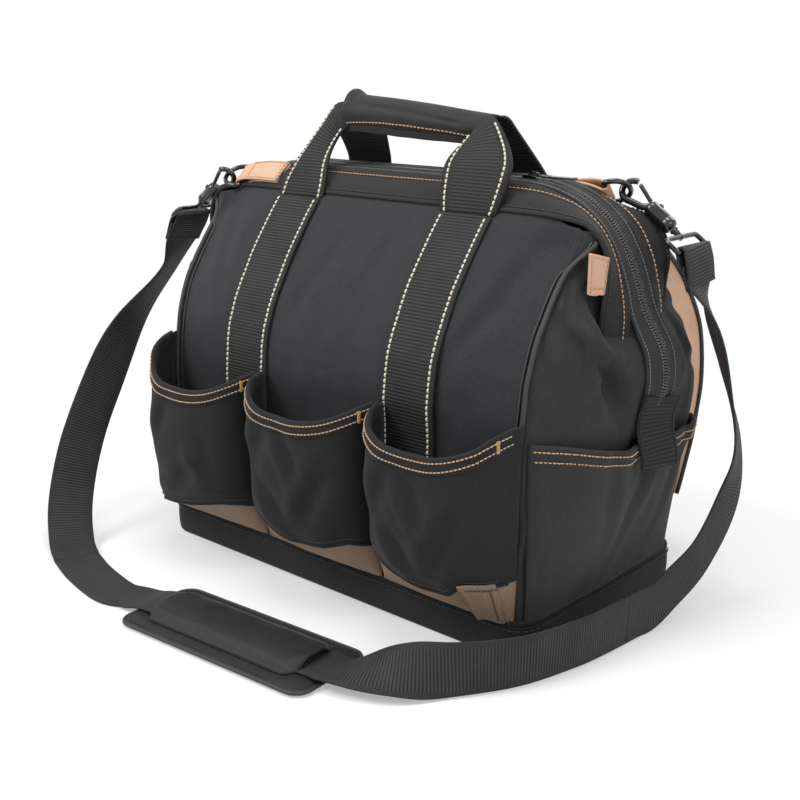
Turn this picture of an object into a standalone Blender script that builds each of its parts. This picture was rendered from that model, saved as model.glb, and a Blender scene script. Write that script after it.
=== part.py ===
# A gate-mouth tool bag with front, end and back pockets, two webbing handles that meet in one
# wrapped grip, and a shoulder strap with a pad lying on the floor in front of it.
# Metres, +Z up. X runs along the bag, the front faces -Y, and the origin is the centre of its underside.

import math

import bpy
import bmesh
from mathutils import Vector

mm = 0.001

# Clearances
gap = 0.3 * mm               # between pieces that touch
run_gap = 0.6 * mm           # between pieces that turn or slide on each other
hair = 0.4 * mm              # overrun of a piece that is joined to another

# Boot: the thick band and floor that the bag stands on
boot_length = 390 * mm
boot_depth = 210 * mm
boot_height = 32 * mm
boot_wall = 3 * mm
boot_corner = 17 * mm
board_thickness = 3 * mm

# Walls of the bag
fabric = 2.4 * mm            # thickness of the padded fabric walls
fixed_wall_top = 172 * mm    # the walls stand still below this height
gusset_rise = 32 * mm        # how much higher the end gussets reach beside the front and back panels
bulge_length = 36 * mm       # how far the ends stand out at the foot of the zip

# Mouth: the wire frames, their covers and the zip
hinge_height = 176 * mm
wire_radius = 2.5 * mm
frame_top = 318 * mm
frame_corner = 60 * mm
leg_step = 6.5 * mm          # the back frame's legs stand this much further out
frame_half_gap = 14 * mm     # each top bar's distance from the middle of the mouth
eye_sweep = math.radians(240)
pin_radius = 3 * mm
pin_head_radius = 5.5 * mm
pin_head = 2.4 * mm
plate_thickness = 3 * mm
plate_width = 20 * mm
plate_foot = 118 * mm
cover_thickness = 2.4 * mm
cover_out = 7.4 * mm         # the cover's inner edge stands this far out of the wire
cover_in = 12 * mm           # and its lower edge this far in along the top
cover_leg_in = 2 * mm        # and this far in on the legs
cover_reach = 22 * mm        # width of the cover, seen from above
cover_foot = 236 * mm
zip_thickness = 2.2 * mm
zip_half_gap = 0.4 * mm
zip_foot = 183 * mm
zip_corner = 66 * mm
slider_length = 13 * mm
slider_width = 11 * mm
slider_height = 5 * mm
puller_length = 30 * mm
puller_width = 6 * mm
puller_thickness = 1.6 * mm
zip_tab_width = 30 * mm
zip_tab_height = 44 * mm
side_tab_width = 16 * mm
side_tab_height = 27 * mm
side_tab_drop = 60 * mm      # from the wire's top down to the side tab's middle
side_tab_lift = 1.4 * mm
leather = 2 * mm

# Pockets
hem_edge = 170 * mm          # height of the front pockets' hem where it meets the wall
hem_dip = 18 * mm            # the hem hangs this much lower in the middle
pocket_fabric = 2 * mm
pocket_bulge = 42 * mm
middle_half_width = 64 * mm
seam_gap = 2 * mm            # between neighbouring pockets
trim_height = 34 * mm        # brown kick trim between the boot and the pockets
trim_rise = 12 * mm          # the trim's right end stands this much taller
end_hem = 152 * mm
end_pocket_bulge = 16 * mm
end_pocket_lift = 1.6 * mm   # its edges stand this far off the curved wall
back_bulge = 50 * mm
back_hem = 250 * mm
back_lift = 2.4 * mm
gusset_top = 296 * mm
gusset_foot = 62 * mm

# Webbing and handles
web_width = 50 * mm
web_thickness = 2 * mm
web_offset = 87 * mm         # from the middle of the bag to each handle strap
web_foot = 60 * mm
grip_height = 366 * mm
grip_half_length = 80 * mm
grip_radius = 17 * mm
grip_wall = 3 * mm
grip_shift = 3 * mm          # the grip sits this far behind the middle
fold_height = 20 * mm        # the webbing inside the grip, folded
fold_thickness = 5 * mm
handle_lift = 1.0 * mm       # the handle's foot stands this far off the cover

# Rings, hooks and buckles
ring_wire = 2 * mm
ring_half_width = 14.2 * mm
ring_depth = 17 * mm
left_ring_turn = math.radians(32)   # how far round the mouth's corner the ring's bar sits
right_ring_turn = math.radians(20)
ring_lift = math.radians(40)
ring_tab_length = 48 * mm
ring_tab_width = 22 * mm
chain_slope = math.radians(36)
hook_wire = 2.3 * mm
hook_eye = 7.8 * mm
barrel_radius = 6 * mm
barrel_start = 16 * mm
barrel_length = 25 * mm
latch_radius = 1.6 * mm
post_radius = 2.2 * mm
post_length = 8 * mm
buckle_wire = 1.9 * mm
buckle_length = 13 * mm
buckle_half_width = 21.5 * mm

# Shoulder strap
strap_width = 38 * mm
strap_thickness = 2 * mm
pad_length = 184 * mm
pad_width = 73 * mm
pad_thickness = 6 * mm
pad_corner = 12 * mm
pad_x = 16 * mm
pad_y = -209 * mm
pad_turn = math.radians(4)
sleeve_width = 54 * mm
sleeve_length = 150 * mm
sleeve_wall = 2.2 * mm
tunnel_width = 42 * mm
tunnel_height = 3.2 * mm

# Worked out from the values above
boot_half_x = boot_length / 2
boot_half_y = boot_depth / 2
wall_half_x = boot_half_x - boot_wall - gap
wall_half_y = boot_half_y - boot_wall - gap
mouth_half_width = boot_half_x - boot_corner  # where the front wall ends and the end wall starts
front_leg_x = boot_half_x                     # the frames' legs stand over the boot's ends
back_leg_x = front_leg_x + leg_step
zip_top = frame_top + cover_out - gap
zip_width = frame_half_gap - gap

# The upper wall leans in: height from the fixed wall to the cover, and how much of its depth is left
lean_shares = ((0.0, 1.0), (0.12, 0.985), (0.24, 0.955), (0.36, 0.90), (0.48, 0.825), (0.60, 0.735),
               (0.72, 0.63), (0.84, 0.515), (0.93, 0.425), (1.0, 0.345))
# How much of the ends' bulge there is, by height from the boot's top to the zip's corner
bulge_shares = ((0.0, 0.0), (0.19, 0.15), (0.38, 0.50), (0.50, 0.85), (0.587, 0.95), (0.65, 0.98),
                (0.75, 1.0), (0.815, 0.97), (0.868, 0.90), (0.93, 0.70), (1.0, 0.46))
bay_shares = (0.0, 0.05, 0.13, 0.25, 0.38, 0.5, 0.62, 0.75, 0.87, 0.95, 1.0)

# The strap's routes, in shares of the boot's length: places, and which way its width points
left_route_shares = (
    ((-0.6769, -0.1077, 0.5692), (0, 1, 0.15)),
    ((-0.6872, -0.2308, 0.4410), (0.05, 1, 0.3)),
    ((-0.6718, -0.3282, 0.3128), (0.1, 1, 0.35)),
    ((-0.6564, -0.4000, 0.1949), (0.2, 1, 0.3)),
    ((-0.6231, -0.4564, 0.0872), (0.28, 1, 0.2)),
    ((-0.5692, -0.4949, 0.0205), (0.33, 1, 0.05)))
left_end_shares = (-0.5128, -0.5205)
floor_start_shares = (-0.5077, -0.5231)
floor_bend_shares = (-0.4231, -0.5487)
floor_rise_shares = (-0.3077, -0.5692)
edge_route_shares = (
    ((0.3846, -0.4872, 0.0447), (-0.25, 0.8, 0.6)),
    ((0.4692, -0.4256, 0.0512), (-0.1, 0.1, 1)),
    ((0.5385, -0.3231, 0.0512), (0.04, 0, 1)),
    ((0.5744, -0.2000, 0.0512), (0.05, 0, 1)),
    ((0.5859, -0.1154, 0.0512), (0.03, 0, 1)),
    ((0.5900, -0.0718, 0.0512), (0.03, 0, 1)))
right_route_shares = (
    ((0.5903, -0.0703, 0.0512), (0.03, 0, 1)),
    ((0.5944, -0.0256, 0.0512), (0.03, 0, 1)),
    ((0.5985, 0.0128, 0.0512), (0.03, 0, 1)),
    ((0.6051, 0.0641, 0.0718), (0, -0.25, 1)),
    ((0.6179, 0.1538, 0.1179), (0, -0.55, 0.9)),
    ((0.6231, 0.2410, 0.2103), (0, -0.9, 0.5)),
    ((0.6256, 0.2564, 0.3205), (0, -1, 0.05)),
    ((0.6231, 0.1949, 0.4615), (0, -1, -0.35)),
    ((0.6231, 0.1179, 0.5949), (0, -1, -0.3)))


def clear_scene():
    for item in list(bpy.data.objects):
        bpy.data.objects.remove(item, do_unlink=True)


def material(name, colour, roughness, metallic=0.0):
    made = bpy.data.materials.new(name)
    made.use_nodes = True
    shader = made.node_tree.nodes["Principled BSDF"]
    shader.inputs["Base Color"].default_value = (*colour, 1.0)
    shader.inputs["Roughness"].default_value = roughness
    shader.inputs["Metallic"].default_value = metallic
    return made


def mix(a, b, share):
    return a + (b - a) * share


def read_table(table, share):
    # Straight lines between the rows of a table of shares
    for (x0, y0), (x1, y1) in zip(table, table[1:]):
        if share <= x1:
            return mix(y0, y1, (share - x0) / (x1 - x0))
    return table[-1][1]


def smooth_step(share):
    share = min(max(share, 0.0), 1.0)
    return share * share * (3.0 - 2.0 * share)


def smooth_line(points, pieces):
    # A smooth curve through the points, read at equal steps between neighbours
    points = [Vector(p) for p in points]
    ends = [points[0] * 2 - points[1]] + points + [points[-1] * 2 - points[-2]]
    line = []
    for i in range(1, len(ends) - 2):
        a, b, c, d = ends[i - 1:i + 3]
        for step in range(pieces):
            t = step / pieces
            line.append(0.5 * ((2 * b) + (c - a) * t + (2 * a - 5 * b + 4 * c - d) * t ** 2
                               + (3 * b - a - 3 * c + d) * t ** 3))
    line.append(points[-1])
    return line


def add_object(name, verts, faces, look, pivot=(0, 0, 0), smooth=False):
    pivot = Vector(pivot)
    mesh = bpy.data.meshes.new(name)
    build = bmesh.new()
    made = [build.verts.new(Vector(v) - pivot) for v in verts]
    for face in faces:
        build.faces.new([made[i] for i in face])
    bmesh.ops.recalc_face_normals(build, faces=build.faces)
    build.to_mesh(mesh)
    build.free()
    item = bpy.data.objects.new(name, mesh)
    item.location = pivot
    bpy.context.scene.collection.objects.link(item)
    mesh.materials.append(look)
    if smooth:
        mesh.shade_smooth()
        mesh.set_sharp_from_angle(angle=math.radians(40))
    return item


def loft(name, rings, look, pivot=(0, 0, 0), closed=False, smooth=False):
    # Rings of equally many points, joined in turn, with a face over each end
    count = len(rings[0])
    verts = [v for ring in rings for v in ring]
    faces = []
    turns = len(rings) if closed else len(rings) - 1
    for i in range(turns):
        here = i * count
        there = (i + 1) % len(rings) * count
        for j in range(count):
            k = (j + 1) % count
            faces.append((here + j, here + k, there + k, there + j))
    if not closed:
        faces.append(tuple(range(count)))
        faces.append(tuple(range(len(verts) - count, len(verts))))
    return add_object(name, verts, faces, look, pivot, smooth)


def sheet(name, outer, inner, look, pivot=(0, 0, 0)):
    # Two grids of points, joined round their rim
    rows = len(outer)
    cols = len(outer[0])
    verts = [v for row in outer for v in row] + [v for row in inner for v in row]
    back = rows * cols
    faces = []
    for i in range(rows - 1):
        for j in range(cols - 1):
            a = i * cols + j
            quad = (a, a + 1, a + cols + 1, a + cols)
            faces.append(quad)
            faces.append(tuple(back + v for v in reversed(quad)))
    rim = [(0, j) for j in range(cols)] + [(i, cols - 1) for i in range(1, rows)]
    rim += [(rows - 1, j) for j in range(cols - 2, -1, -1)] + [(i, 0) for i in range(rows - 2, 0, -1)]
    for (i0, j0), (i1, j1) in zip(rim, rim[1:] + rim[:1]):
        a = i0 * cols + j0
        b = i1 * cols + j1
        faces.append((a, b, back + b, back + a))
    return add_object(name, verts, faces, look, pivot)


def tube_rings(line, radius, sides):
    rings = []
    side = None
    for i, point in enumerate(line):
        ahead = line[min(i + 1, len(line) - 1)] - line[max(i - 1, 0)]
        ahead.normalize()
        if side is None:
            side = ahead.orthogonal().normalized()
        side = (side - ahead * side.dot(ahead)).normalized()
        up = ahead.cross(side)
        ring = []
        for j in range(sides):
            turn = 2 * math.pi * j / sides
            ring.append(point + side * radius * math.cos(turn) + up * radius * math.sin(turn))
        rings.append(ring)
    return rings


def tube(name, line, radius, look, pivot=(0, 0, 0), sides=8):
    return loft(name, tube_rings([Vector(p) for p in line], radius, sides), look, pivot, smooth=True)


def ribbon_rings(line, across, width, thickness):
    # Rectangles along a line; across is the direction of the width at each point
    rings = []
    for i, point in enumerate(line):
        ahead = (line[min(i + 1, len(line) - 1)] - line[max(i - 1, 0)]).normalized()
        wide = (across[i] - ahead * across[i].dot(ahead)).normalized()
        deep = ahead.cross(wide)
        w = wide * width / 2
        d = deep * thickness / 2
        rings.append([point - w - d, point + w - d, point + w + d, point - w + d])
    return rings


def round_rectangle(half_x, half_y, corner, z, steps=3):
    ring = []
    for quarter, (sx, sy) in enumerate(((1, 1), (-1, 1), (-1, -1), (1, -1))):
        for step in range(steps + 1):
            turn = (quarter + step / steps) * math.pi / 2
            ring.append(Vector((sx * (half_x - corner) + corner * math.cos(turn),
                                sy * (half_y - corner) + corner * math.sin(turn), z)))
    return ring


def box_rings(low, high):
    rings = []
    for x in (low[0], high[0]):
        rings.append([Vector((x, low[1], low[2])), Vector((x, high[1], low[2])),
                      Vector((x, high[1], high[2])), Vector((x, low[1], high[2]))])
    return rings


def join_with(item, other):
    # A union with a helper that is then left out
    other.hide_render = True
    other.display_type = "WIRE"
    union = item.modifiers.new("union", "BOOLEAN")
    union.operation = "UNION"
    union.solver = "EXACT"
    union.object = other


def wall_depth(z):
    # Half the bag's depth at a height
    rise = (z - fixed_wall_top) / (cover_edge()[1] - fixed_wall_top)
    return wall_half_y * read_table(lean_shares, max(rise, 0.0))


def cover_edge():
    # The lower edge of a frame's cover: distance from the middle of the mouth, and height
    return frame_half_gap + cover_reach, frame_top - cover_in


def zip_x(z):
    # How far out the zip and the ends of the bag stand at a height
    rise = (z - boot_height) / (zip_top - zip_corner - boot_height)
    return wall_half_x + bulge_length * read_table(bulge_shares, max(rise, 0.0))


def end_line(z, side, inset):
    # One end of the bag in plan at a height, from the front corner to the zip's line
    depth = wall_depth(z) - inset
    corner = boot_corner - boot_wall
    reach = zip_x(z) - inset
    start = mouth_half_width + gap
    knee = wall_half_x - inset
    points = [(start, -depth)]
    for step in (1, 2, 3):
        turn = math.pi / 2 * step / 3
        points.append((start + (knee - start) * math.sin(turn), -depth + corner * (1 - math.cos(turn))))
    for share in (0.25, 0.5, 0.75, 1.0):
        ease = math.sin(share * math.pi / 2) ** 0.65
        points.append((mix(knee, reach, ease), mix(-depth + corner, -zip_width - gap, share)))
    return [(side * x, y) for x, y in points]


def make_looks():
    return {
        "cloth": material("front_cloth", (0.032, 0.034, 0.040), 0.78),
        "end_cloth": material("end_cloth", (0.030, 0.030, 0.031), 0.80),
        "boot": material("boot_cloth", (0.018, 0.018, 0.019), 0.72),
        "webbing": material("webbing", (0.022, 0.022, 0.024), 0.70),
        "trim": material("kick_trim", (0.16, 0.115, 0.085), 0.75),
        "leather": material("pale_leather", (0.60, 0.38, 0.27), 0.62),
        "metal": material("black_metal", (0.012, 0.012, 0.013), 0.25, 0.9),
        "steel": material("frame_steel", (0.42, 0.42, 0.43), 0.38, 1.0),
        "zip": material("zip_coil", (0.05, 0.05, 0.052), 0.5),
        "board": material("board", (0.06, 0.06, 0.06), 0.6),
        "pad": material("pad_cloth", (0.02, 0.02, 0.022), 0.6),
    }


def make_boot(looks):
    inner_x = boot_half_x - boot_wall
    inner_y = boot_half_y - boot_wall
    inner_corner = boot_corner - boot_wall
    rings = [round_rectangle(boot_half_x, boot_half_y, boot_corner, 0),
             round_rectangle(boot_half_x, boot_half_y, boot_corner, boot_height),
             round_rectangle(inner_x, inner_y, inner_corner, boot_height),
             round_rectangle(inner_x, inner_y, inner_corner, boot_wall)]
    loft("base_boot", rings, looks["boot"])
    half_x = wall_half_x - fabric - gap
    half_y = wall_half_y - fabric - gap
    low = boot_wall + gap
    rings = [round_rectangle(half_x, half_y, inner_corner, low),
             round_rectangle(half_x, half_y, inner_corner, low + board_thickness)]
    loft("base_board", rings, looks["board"])


def make_fixed_walls(looks):
    heights = [boot_wall + gap]
    heights += [mix(boot_height, fixed_wall_top, share) for share in (0, 0.25, 0.5, 0.75, 1)]
    for name, way in (("front_wall", -1), ("back_wall", 1)):
        outer = [[Vector((x, way * wall_half_y, z)) for x in (-mouth_half_width, 0, mouth_half_width)]
                 for z in heights[::5]]
        inner = [[v - Vector((0, way * fabric, 0)) for v in row] for row in outer]
        sheet(name, outer, inner, looks["cloth"])
    for name, side in (("left_end_wall", -1), ("right_end_wall", 1)):
        outer = []
        inner = []
        for z in heights:
            for grid, inset in ((outer, 0), (inner, fabric)):
                half = end_line(z, side, inset)
                row = half + [(x, -y) for x, y in reversed(half)]
                grid.append([Vector((x, y, z)) for x, y in row])
        sheet(name, outer, inner, looks["end_cloth"])


def make_upper_walls(looks):
    edge_y, edge_z = cover_edge()
    low = fixed_wall_top + gap
    columns = (-1.0, -0.95, -0.9, -0.85, -0.8, -0.5, 0.0, 0.5, 0.8, 0.85, 0.9, 0.95, 1.0)
    bend = frame_corner - cover_in
    for name, way in (("upper_front_wall", -1), ("upper_back_wall", 1)):
        outer = []
        inner = []
        for share, _ in lean_shares:
            outer_row = []
            inner_row = []
            for column in columns:
                x = column * mouth_half_width
                past = max(abs(x) - (front_leg_x - frame_corner), 0.0)
                drop = bend - math.sqrt(bend * bend - past * past)
                z = mix(low, edge_z - cover_thickness - drop, share)
                y = max(wall_depth(z), edge_y + cover_thickness / 2)
                outer_row.append(Vector((x, way * y, z)))
                inner_row.append(Vector((x, way * (y - fabric), z - fabric * 0.3 * share)))
            outer.append(outer_row)
            inner.append(inner_row)
        sheet(name, outer, inner, looks["cloth"])
    for side_name, side in (("left", -1), ("right", 1)):
        for way_name, way in (("front", -1), ("back", 1)):
            outer = []
            inner = []
            for share in (0, 0.15, 0.3, 0.45, 0.6, 0.75, 0.9, 1):
                for grid, inset in ((outer, 0), (inner, fabric)):
                    row = []
                    for i in range(8):
                        # The edge beside the front panel reaches up to the cover
                        top = edge_z - frame_corner + gusset_rise * (1 - smooth_step((i - 2) / 4))
                        z = mix(low, top, share)
                        x, y = end_line(z, side, inset)[i]
                        row.append(Vector((x, -way * y, z)))
                    grid.append(row)
            sheet(side_name + "_" + way_name + "_gusset", outer, inner, looks["end_cloth"])


def frame_line(leg_x, way):
    # One frame's wire: an eye round the pin, a leg, the top bar, the other leg and its eye
    loop = pin_radius + run_gap + wire_radius
    eye = []
    steps = 12
    for step in range(steps + 1):
        turn = math.pi + eye_sweep * (1 - step / steps)
        eye.append(Vector((leg_x, -way * loop * math.cos(turn), hinge_height + loop * math.sin(turn))))
    leg_top = frame_top - frame_corner
    rise = []
    for share in (0.2, 0.5, 0.8, 1.0):
        y = mix(loop, frame_half_gap, smooth_step(share))
        rise.append(Vector((leg_x, way * y, mix(hinge_height, leg_top, share))))
    bend = []
    turns = 6
    for step in range(1, turns + 1):
        turn = math.pi / 2 * step / turns
        bend.append(Vector((leg_x - frame_corner * (1 - math.cos(turn)), way * frame_half_gap,
                            leg_top + frame_corner * math.sin(turn))))
    half = eye + rise + bend
    return half + [Vector((-p.x, p.y, p.z)) for p in reversed(half)]


def cover_line(leg_x, foot):
    # The line that a frame's cover follows, in the plane of the frame: place, outward direction, and how
    # far in the cover's lower edge lies
    leg_top = frame_top - frame_corner
    places = [((leg_x, mix(foot, leg_top, share)), (1.0, 0.0), cover_leg_in) for share in (0.0, 0.5, 1.0)]
    steps = 6
    for step in range(1, steps + 1):
        turn = math.pi / 2 * step / steps
        place = (leg_x - frame_corner * (1 - math.cos(turn)), leg_top + frame_corner * math.sin(turn))
        places.append((place, (math.cos(turn), math.sin(turn)), mix(cover_leg_in, cover_in, step / steps)))
    mirror = [((-x, z), (-ox, oz), low) for (x, z), (ox, oz), low in reversed(places)]
    return places + mirror


def make_mouth(looks):
    for name, way, leg_x in (("front", -1, front_leg_x), ("back", 1, back_leg_x)):
        pivot = (0, 0, hinge_height)
        tube(name + "_frame", frame_line(leg_x, way), wire_radius, looks["steel"], pivot)
        rings = []
        for (x, z), (ox, oz), low in cover_line(leg_x, cover_foot):
            tilt = math.atan2(cover_out + low, cover_reach)
            ring = []
            for reach, out in ((0, cover_out), (cover_reach, -low),
                               (cover_reach - cover_thickness * math.sin(tilt),
                                -low - cover_thickness * math.cos(tilt)),
                               (0, cover_out - cover_thickness / math.cos(tilt))):
                ring.append(Vector((x + ox * out, way * (frame_half_gap + reach), z + oz * out)))
            rings.append(ring)
        loft(name + "_cover", rings, looks["cloth"], pivot)
        make_zip_half(name, way, looks["zip"], pivot)


def make_zip_half(name, way, look, pivot):
    line = []
    for share in (0.0, 0.15, 0.3, 0.45, 0.6, 0.8, 1.0):
        z = mix(zip_foot, zip_top - zip_corner, share)
        line.append(Vector((zip_x(z), z)))
    foot = line[-1]
    turns = 6
    for step in range(1, turns + 1):
        turn = math.pi / 2 * step / turns
        line.append(Vector((foot.x - zip_corner * (1 - math.cos(turn)),
                            foot.y + zip_corner * math.sin(turn))))
    line = line + [Vector((-p.x, p.y)) for p in reversed(line)]
    rings = []
    for i, point in enumerate(line):
        ahead = (line[min(i + 1, len(line) - 1)] - line[max(i - 1, 0)]).normalized()
        under = Vector((-ahead.y, ahead.x)) * zip_thickness
        ring = []
        for y in (zip_half_gap, zip_width):
            ring.append(Vector((point.x, way * y, point.y)))
        for y in (zip_width, zip_half_gap):
            ring.append(Vector((point.x + under.x, way * y, point.y + under.y)))
        rings.append(ring)
    loft(name + "_zip", rings, look, pivot)


def make_zip_fittings(looks):
    x = web_offset * 1.35
    low = zip_top + gap
    rings = box_rings((x - slider_length / 2, -slider_width / 2, low),
                      (x + slider_length / 2, slider_width / 2, low + slider_height))
    loft("zip_slider", rings, looks["metal"], (x, 0, low))
    start = x + slider_length / 2 + run_gap
    middle = low + slider_height / 2
    half = puller_thickness / 2
    rings = box_rings((start, -puller_width / 2, middle - half),
                      (start + puller_length, puller_width / 2, middle + half))
    loft("zip_puller", rings, looks["metal"], (start + half, 0, middle))
    for side_name, side in (("left", -1), ("right", 1)):
        # The tab starts on the end wall and hangs over the end pocket's hem
        top = fixed_wall_top - run_gap
        low = top - zip_tab_height
        near = zip_x(top) + gap
        far = zip_x(end_hem) + end_pocket_lift + end_pocket_bulge + pocket_fabric + gap
        rings = []
        for z, x in ((low, far), (end_hem, far), (top, near)):
            y = zip_tab_width / 2
            rings.append([Vector((side * x, -y, z)), Vector((side * x, y, z)),
                          Vector((side * (x + leather), y, z)), Vector((side * (x + leather), -y, z))])
        loft(side_name + "_zip_tab", rings, looks["webbing"])


def make_pivots(looks):
    for side_name, side in (("left", -1), ("right", 1)):
        face = front_leg_x - wire_radius - run_gap
        inner = face - plate_thickness
        foot_x = zip_x(plate_foot) - fabric - gap
        outline = [(inner, plate_foot), (foot_x, plate_foot), (foot_x, plate_foot + plate_thickness),
                   (face, plate_foot + plate_thickness), (face, hinge_height + pin_head_radius * 1.6),
                   (inner, hinge_height + pin_head_radius * 1.6)]
        rings = [[Vector((side * x, y, z)) for x, z in outline] for y in (-plate_width / 2, plate_width / 2)]
        plate = loft(side_name + "_frame_pivot", rings, looks["steel"])
        end = back_leg_x + wire_radius + run_gap
        steps = ((face - hair, pin_radius), (end, pin_radius), (end, pin_head_radius),
                 (end + pin_head, pin_head_radius))
        rings = []
        for x, radius in steps:
            rings.append([Vector((side * x, radius * math.cos(math.pi * j / 6),
                                  hinge_height + radius * math.sin(math.pi * j / 6))) for j in range(12)])
        join_with(plate, loft(side_name + "_pin_helper", rings, looks["steel"]))


def bay_depth(share, z_share, bulge):
    # How far a pocket stands out across its bay
    across = (1 - abs(2 * share - 1) ** 3) ** (1 / 2.2)
    return bulge * across * z_share


def make_front_pockets(looks):
    wall = wall_half_y + gap + web_thickness + gap
    bays = (("left", -mouth_half_width - boot_corner * 0.4, -middle_half_width - seam_gap / 2),
            ("middle", -middle_half_width + seam_gap / 2, middle_half_width - seam_gap / 2),
            ("right", middle_half_width + seam_gap / 2, mouth_half_width + boot_corner * 0.4))
    levels = (0.0, 0.18, 0.4, 0.62, 0.84, 1.0)
    fullness = (0.62, 0.86, 1.0, 1.02, 1.0, 0.94)
    for name, left, right in bays:
        outer = []
        inner = []
        for level, full in zip(levels, fullness):
            outer_row = []
            inner_row = []
            for share in bay_shares:
                x = mix(left, right, share)
                mid = 1 - abs(2 * share - 1) ** 2.5
                seam = boot_height + trim_height * 0.45 + trim_rise * share + hem_dip * 0.5 * mid
                hem = hem_edge - hem_dip * mid
                z = mix(seam, hem, level)
                depth = bay_depth(share, full, pocket_bulge)
                outer_row.append(Vector((x, -wall - pocket_fabric - depth, z)))
                shift = pocket_fabric * (1 - 2 * share)
                inner_row.append(Vector((x + shift, -wall - depth, z)))
            outer.append(outer_row)
            inner.append(inner_row)
        sheet(name + "_front_pocket", outer, inner, looks["cloth"])
        make_kick_trim(name, left, right, wall, fullness[0], looks["trim"])


def make_kick_trim(name, left, right, wall, full, look):
    # The brown piece under a pocket slopes from the pocket's lower edge back to the boot
    outer = []
    inner = []
    for level in (0.0, 0.5, 1.0):
        outer_row = []
        inner_row = []
        for share in bay_shares:
            x = mix(left, right, share)
            mid = 1 - abs(2 * share - 1) ** 2.5
            seam = boot_height + trim_height * 0.45 + trim_rise * share + hem_dip * 0.5 * mid
            z = mix(boot_height + gap, seam - gap, level)
            depth = bay_depth(share, full * mix(0.12, 1.0, level), pocket_bulge)
            outer_row.append(Vector((x, -wall - pocket_fabric - depth, z)))
            shift = pocket_fabric * (1 - 2 * share)
            inner_row.append(Vector((x + shift, -wall - depth * 0.9, z + pocket_fabric * mid * (1 - level))))
        outer.append(outer_row)
        inner.append(inner_row)
    sheet(name + "_kick_trim", outer, inner, look)


def make_end_pockets(looks):
    for side_name, side in (("left", -1), ("right", 1)):
        outer = []
        inner = []
        for level in (0.0, 0.3, 0.6, 0.85, 1.0):
            outer_row = []
            inner_row = []
            for share in bay_shares:
                span = wall_half_y - boot_corner
                y = mix(-span, span, share)
                z = mix(boot_height + gap, end_hem, level)
                half = end_line(z, 1, 0)
                face = wall_at(half, abs(y))
                fullness = 0.25 + 0.75 * math.sin(level * 1.9)
                bulge = end_pocket_bulge * (1 - abs(2 * share - 1) ** 3) * fullness
                outer_row.append(Vector((side * (face + end_pocket_lift + pocket_fabric + bulge), y, z)))
                inner_row.append(Vector((side * (face + end_pocket_lift + bulge), y, z)))
            outer.append(outer_row)
            inner.append(inner_row)
        sheet(side_name + "_end_pocket", outer, inner, looks["end_cloth"])


def wall_at(half, y):
    # The end wall's reach at a distance from the middle, read from its plan
    rows = [(-py, px) for px, py in half[3:]]
    for (y0, x0), (y1, x1) in zip(rows, rows[1:]):
        if y1 <= y <= y0:
            return mix(x0, x1, (y0 - y) / (y0 - y1))
    return rows[-1][1] if y < rows[-1][0] else rows[0][1]


def back_swell(z):
    # How far the back pocket stands out at a height
    share = (z - boot_height) / (gusset_top - boot_height)
    return back_bulge * math.sin(math.pi * min(max(share, 0.0), 1.0)) ** 0.8


def make_back_pocket(looks):
    half = mouth_half_width
    parts = (("back_pocket", boot_height + gap, fixed_wall_top, (0, 0.2, 0.5, 0.8, 1)),
             ("back_pocket_top", fixed_wall_top + gap, back_hem, (0, 0.33, 0.67, 1)))
    for name, low, high, levels in parts:
        outer = []
        inner = []
        for level in levels:
            z = mix(low, high, level)
            outer_row = []
            inner_row = []
            for share in bay_shares:
                across = (1 - abs(2 * share - 1) ** 8) ** 0.5
                y = wall_depth(z) + back_lift + back_swell(z) * across
                x = mix(-half, half, share)
                shift = pocket_fabric * (1 - 2 * share)
                outer_row.append(Vector((x, y + pocket_fabric, z)))
                inner_row.append(Vector((x + shift, y, z)))
            outer.append(outer_row)
            inner.append(inner_row)
        sheet(name, outer, inner, looks["cloth"])
    for side_name, side in (("left", -1), ("right", 1)):
        outer = []
        inner = []
        for level in (0, 0.12, 0.25, 0.4, 0.55, 0.7, 0.85, 1):
            z = mix(gusset_foot, gusset_top, level)
            swell = back_swell(z)
            start = max(wall_depth(z), cover_edge()[0])
            x = half + gap
            face = x + leather
            reach = (start + back_lift, start + back_lift + swell + pocket_fabric)
            outer.append([Vector((side * face, y, z)) for y in reach])
            inner.append([Vector((side * x, y, z)) for y in reach])
        sheet(side_name + "_pocket_gusset", outer, inner, looks["leather"])


def make_wall_webbing(looks):
    for way_name, way in (("front", -1), ("back", 1)):
        for side_name, side in (("left", -1), ("right", 1)):
            edge_y, edge_z = cover_edge()
            heights = [web_foot, mix(web_foot, fixed_wall_top, 0.5), fixed_wall_top]
            top = handle_hinge(1).z - web_thickness
            heights += [mix(fixed_wall_top, top, share) for share, _ in lean_shares[1:]]
            rings = []
            for z in heights:
                y0 = max(wall_depth(z), edge_y + cover_thickness / 2) + gap
                x0 = side * web_offset
                rings.append([Vector((x0 - web_width / 2, way * y0, z)),
                              Vector((x0 + web_width / 2, way * y0, z)),
                              Vector((x0 + web_width / 2, way * (y0 + web_thickness), z)),
                              Vector((x0 - web_width / 2, way * (y0 + web_thickness), z))])
            loft(way_name + "_" + side_name + "_webbing", rings, looks["webbing"])


def handle_hinge(way):
    edge_y, edge_z = cover_edge()
    return Vector((0, way * (edge_y + handle_lift + web_thickness / 2), edge_z - web_thickness / 2))


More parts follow.
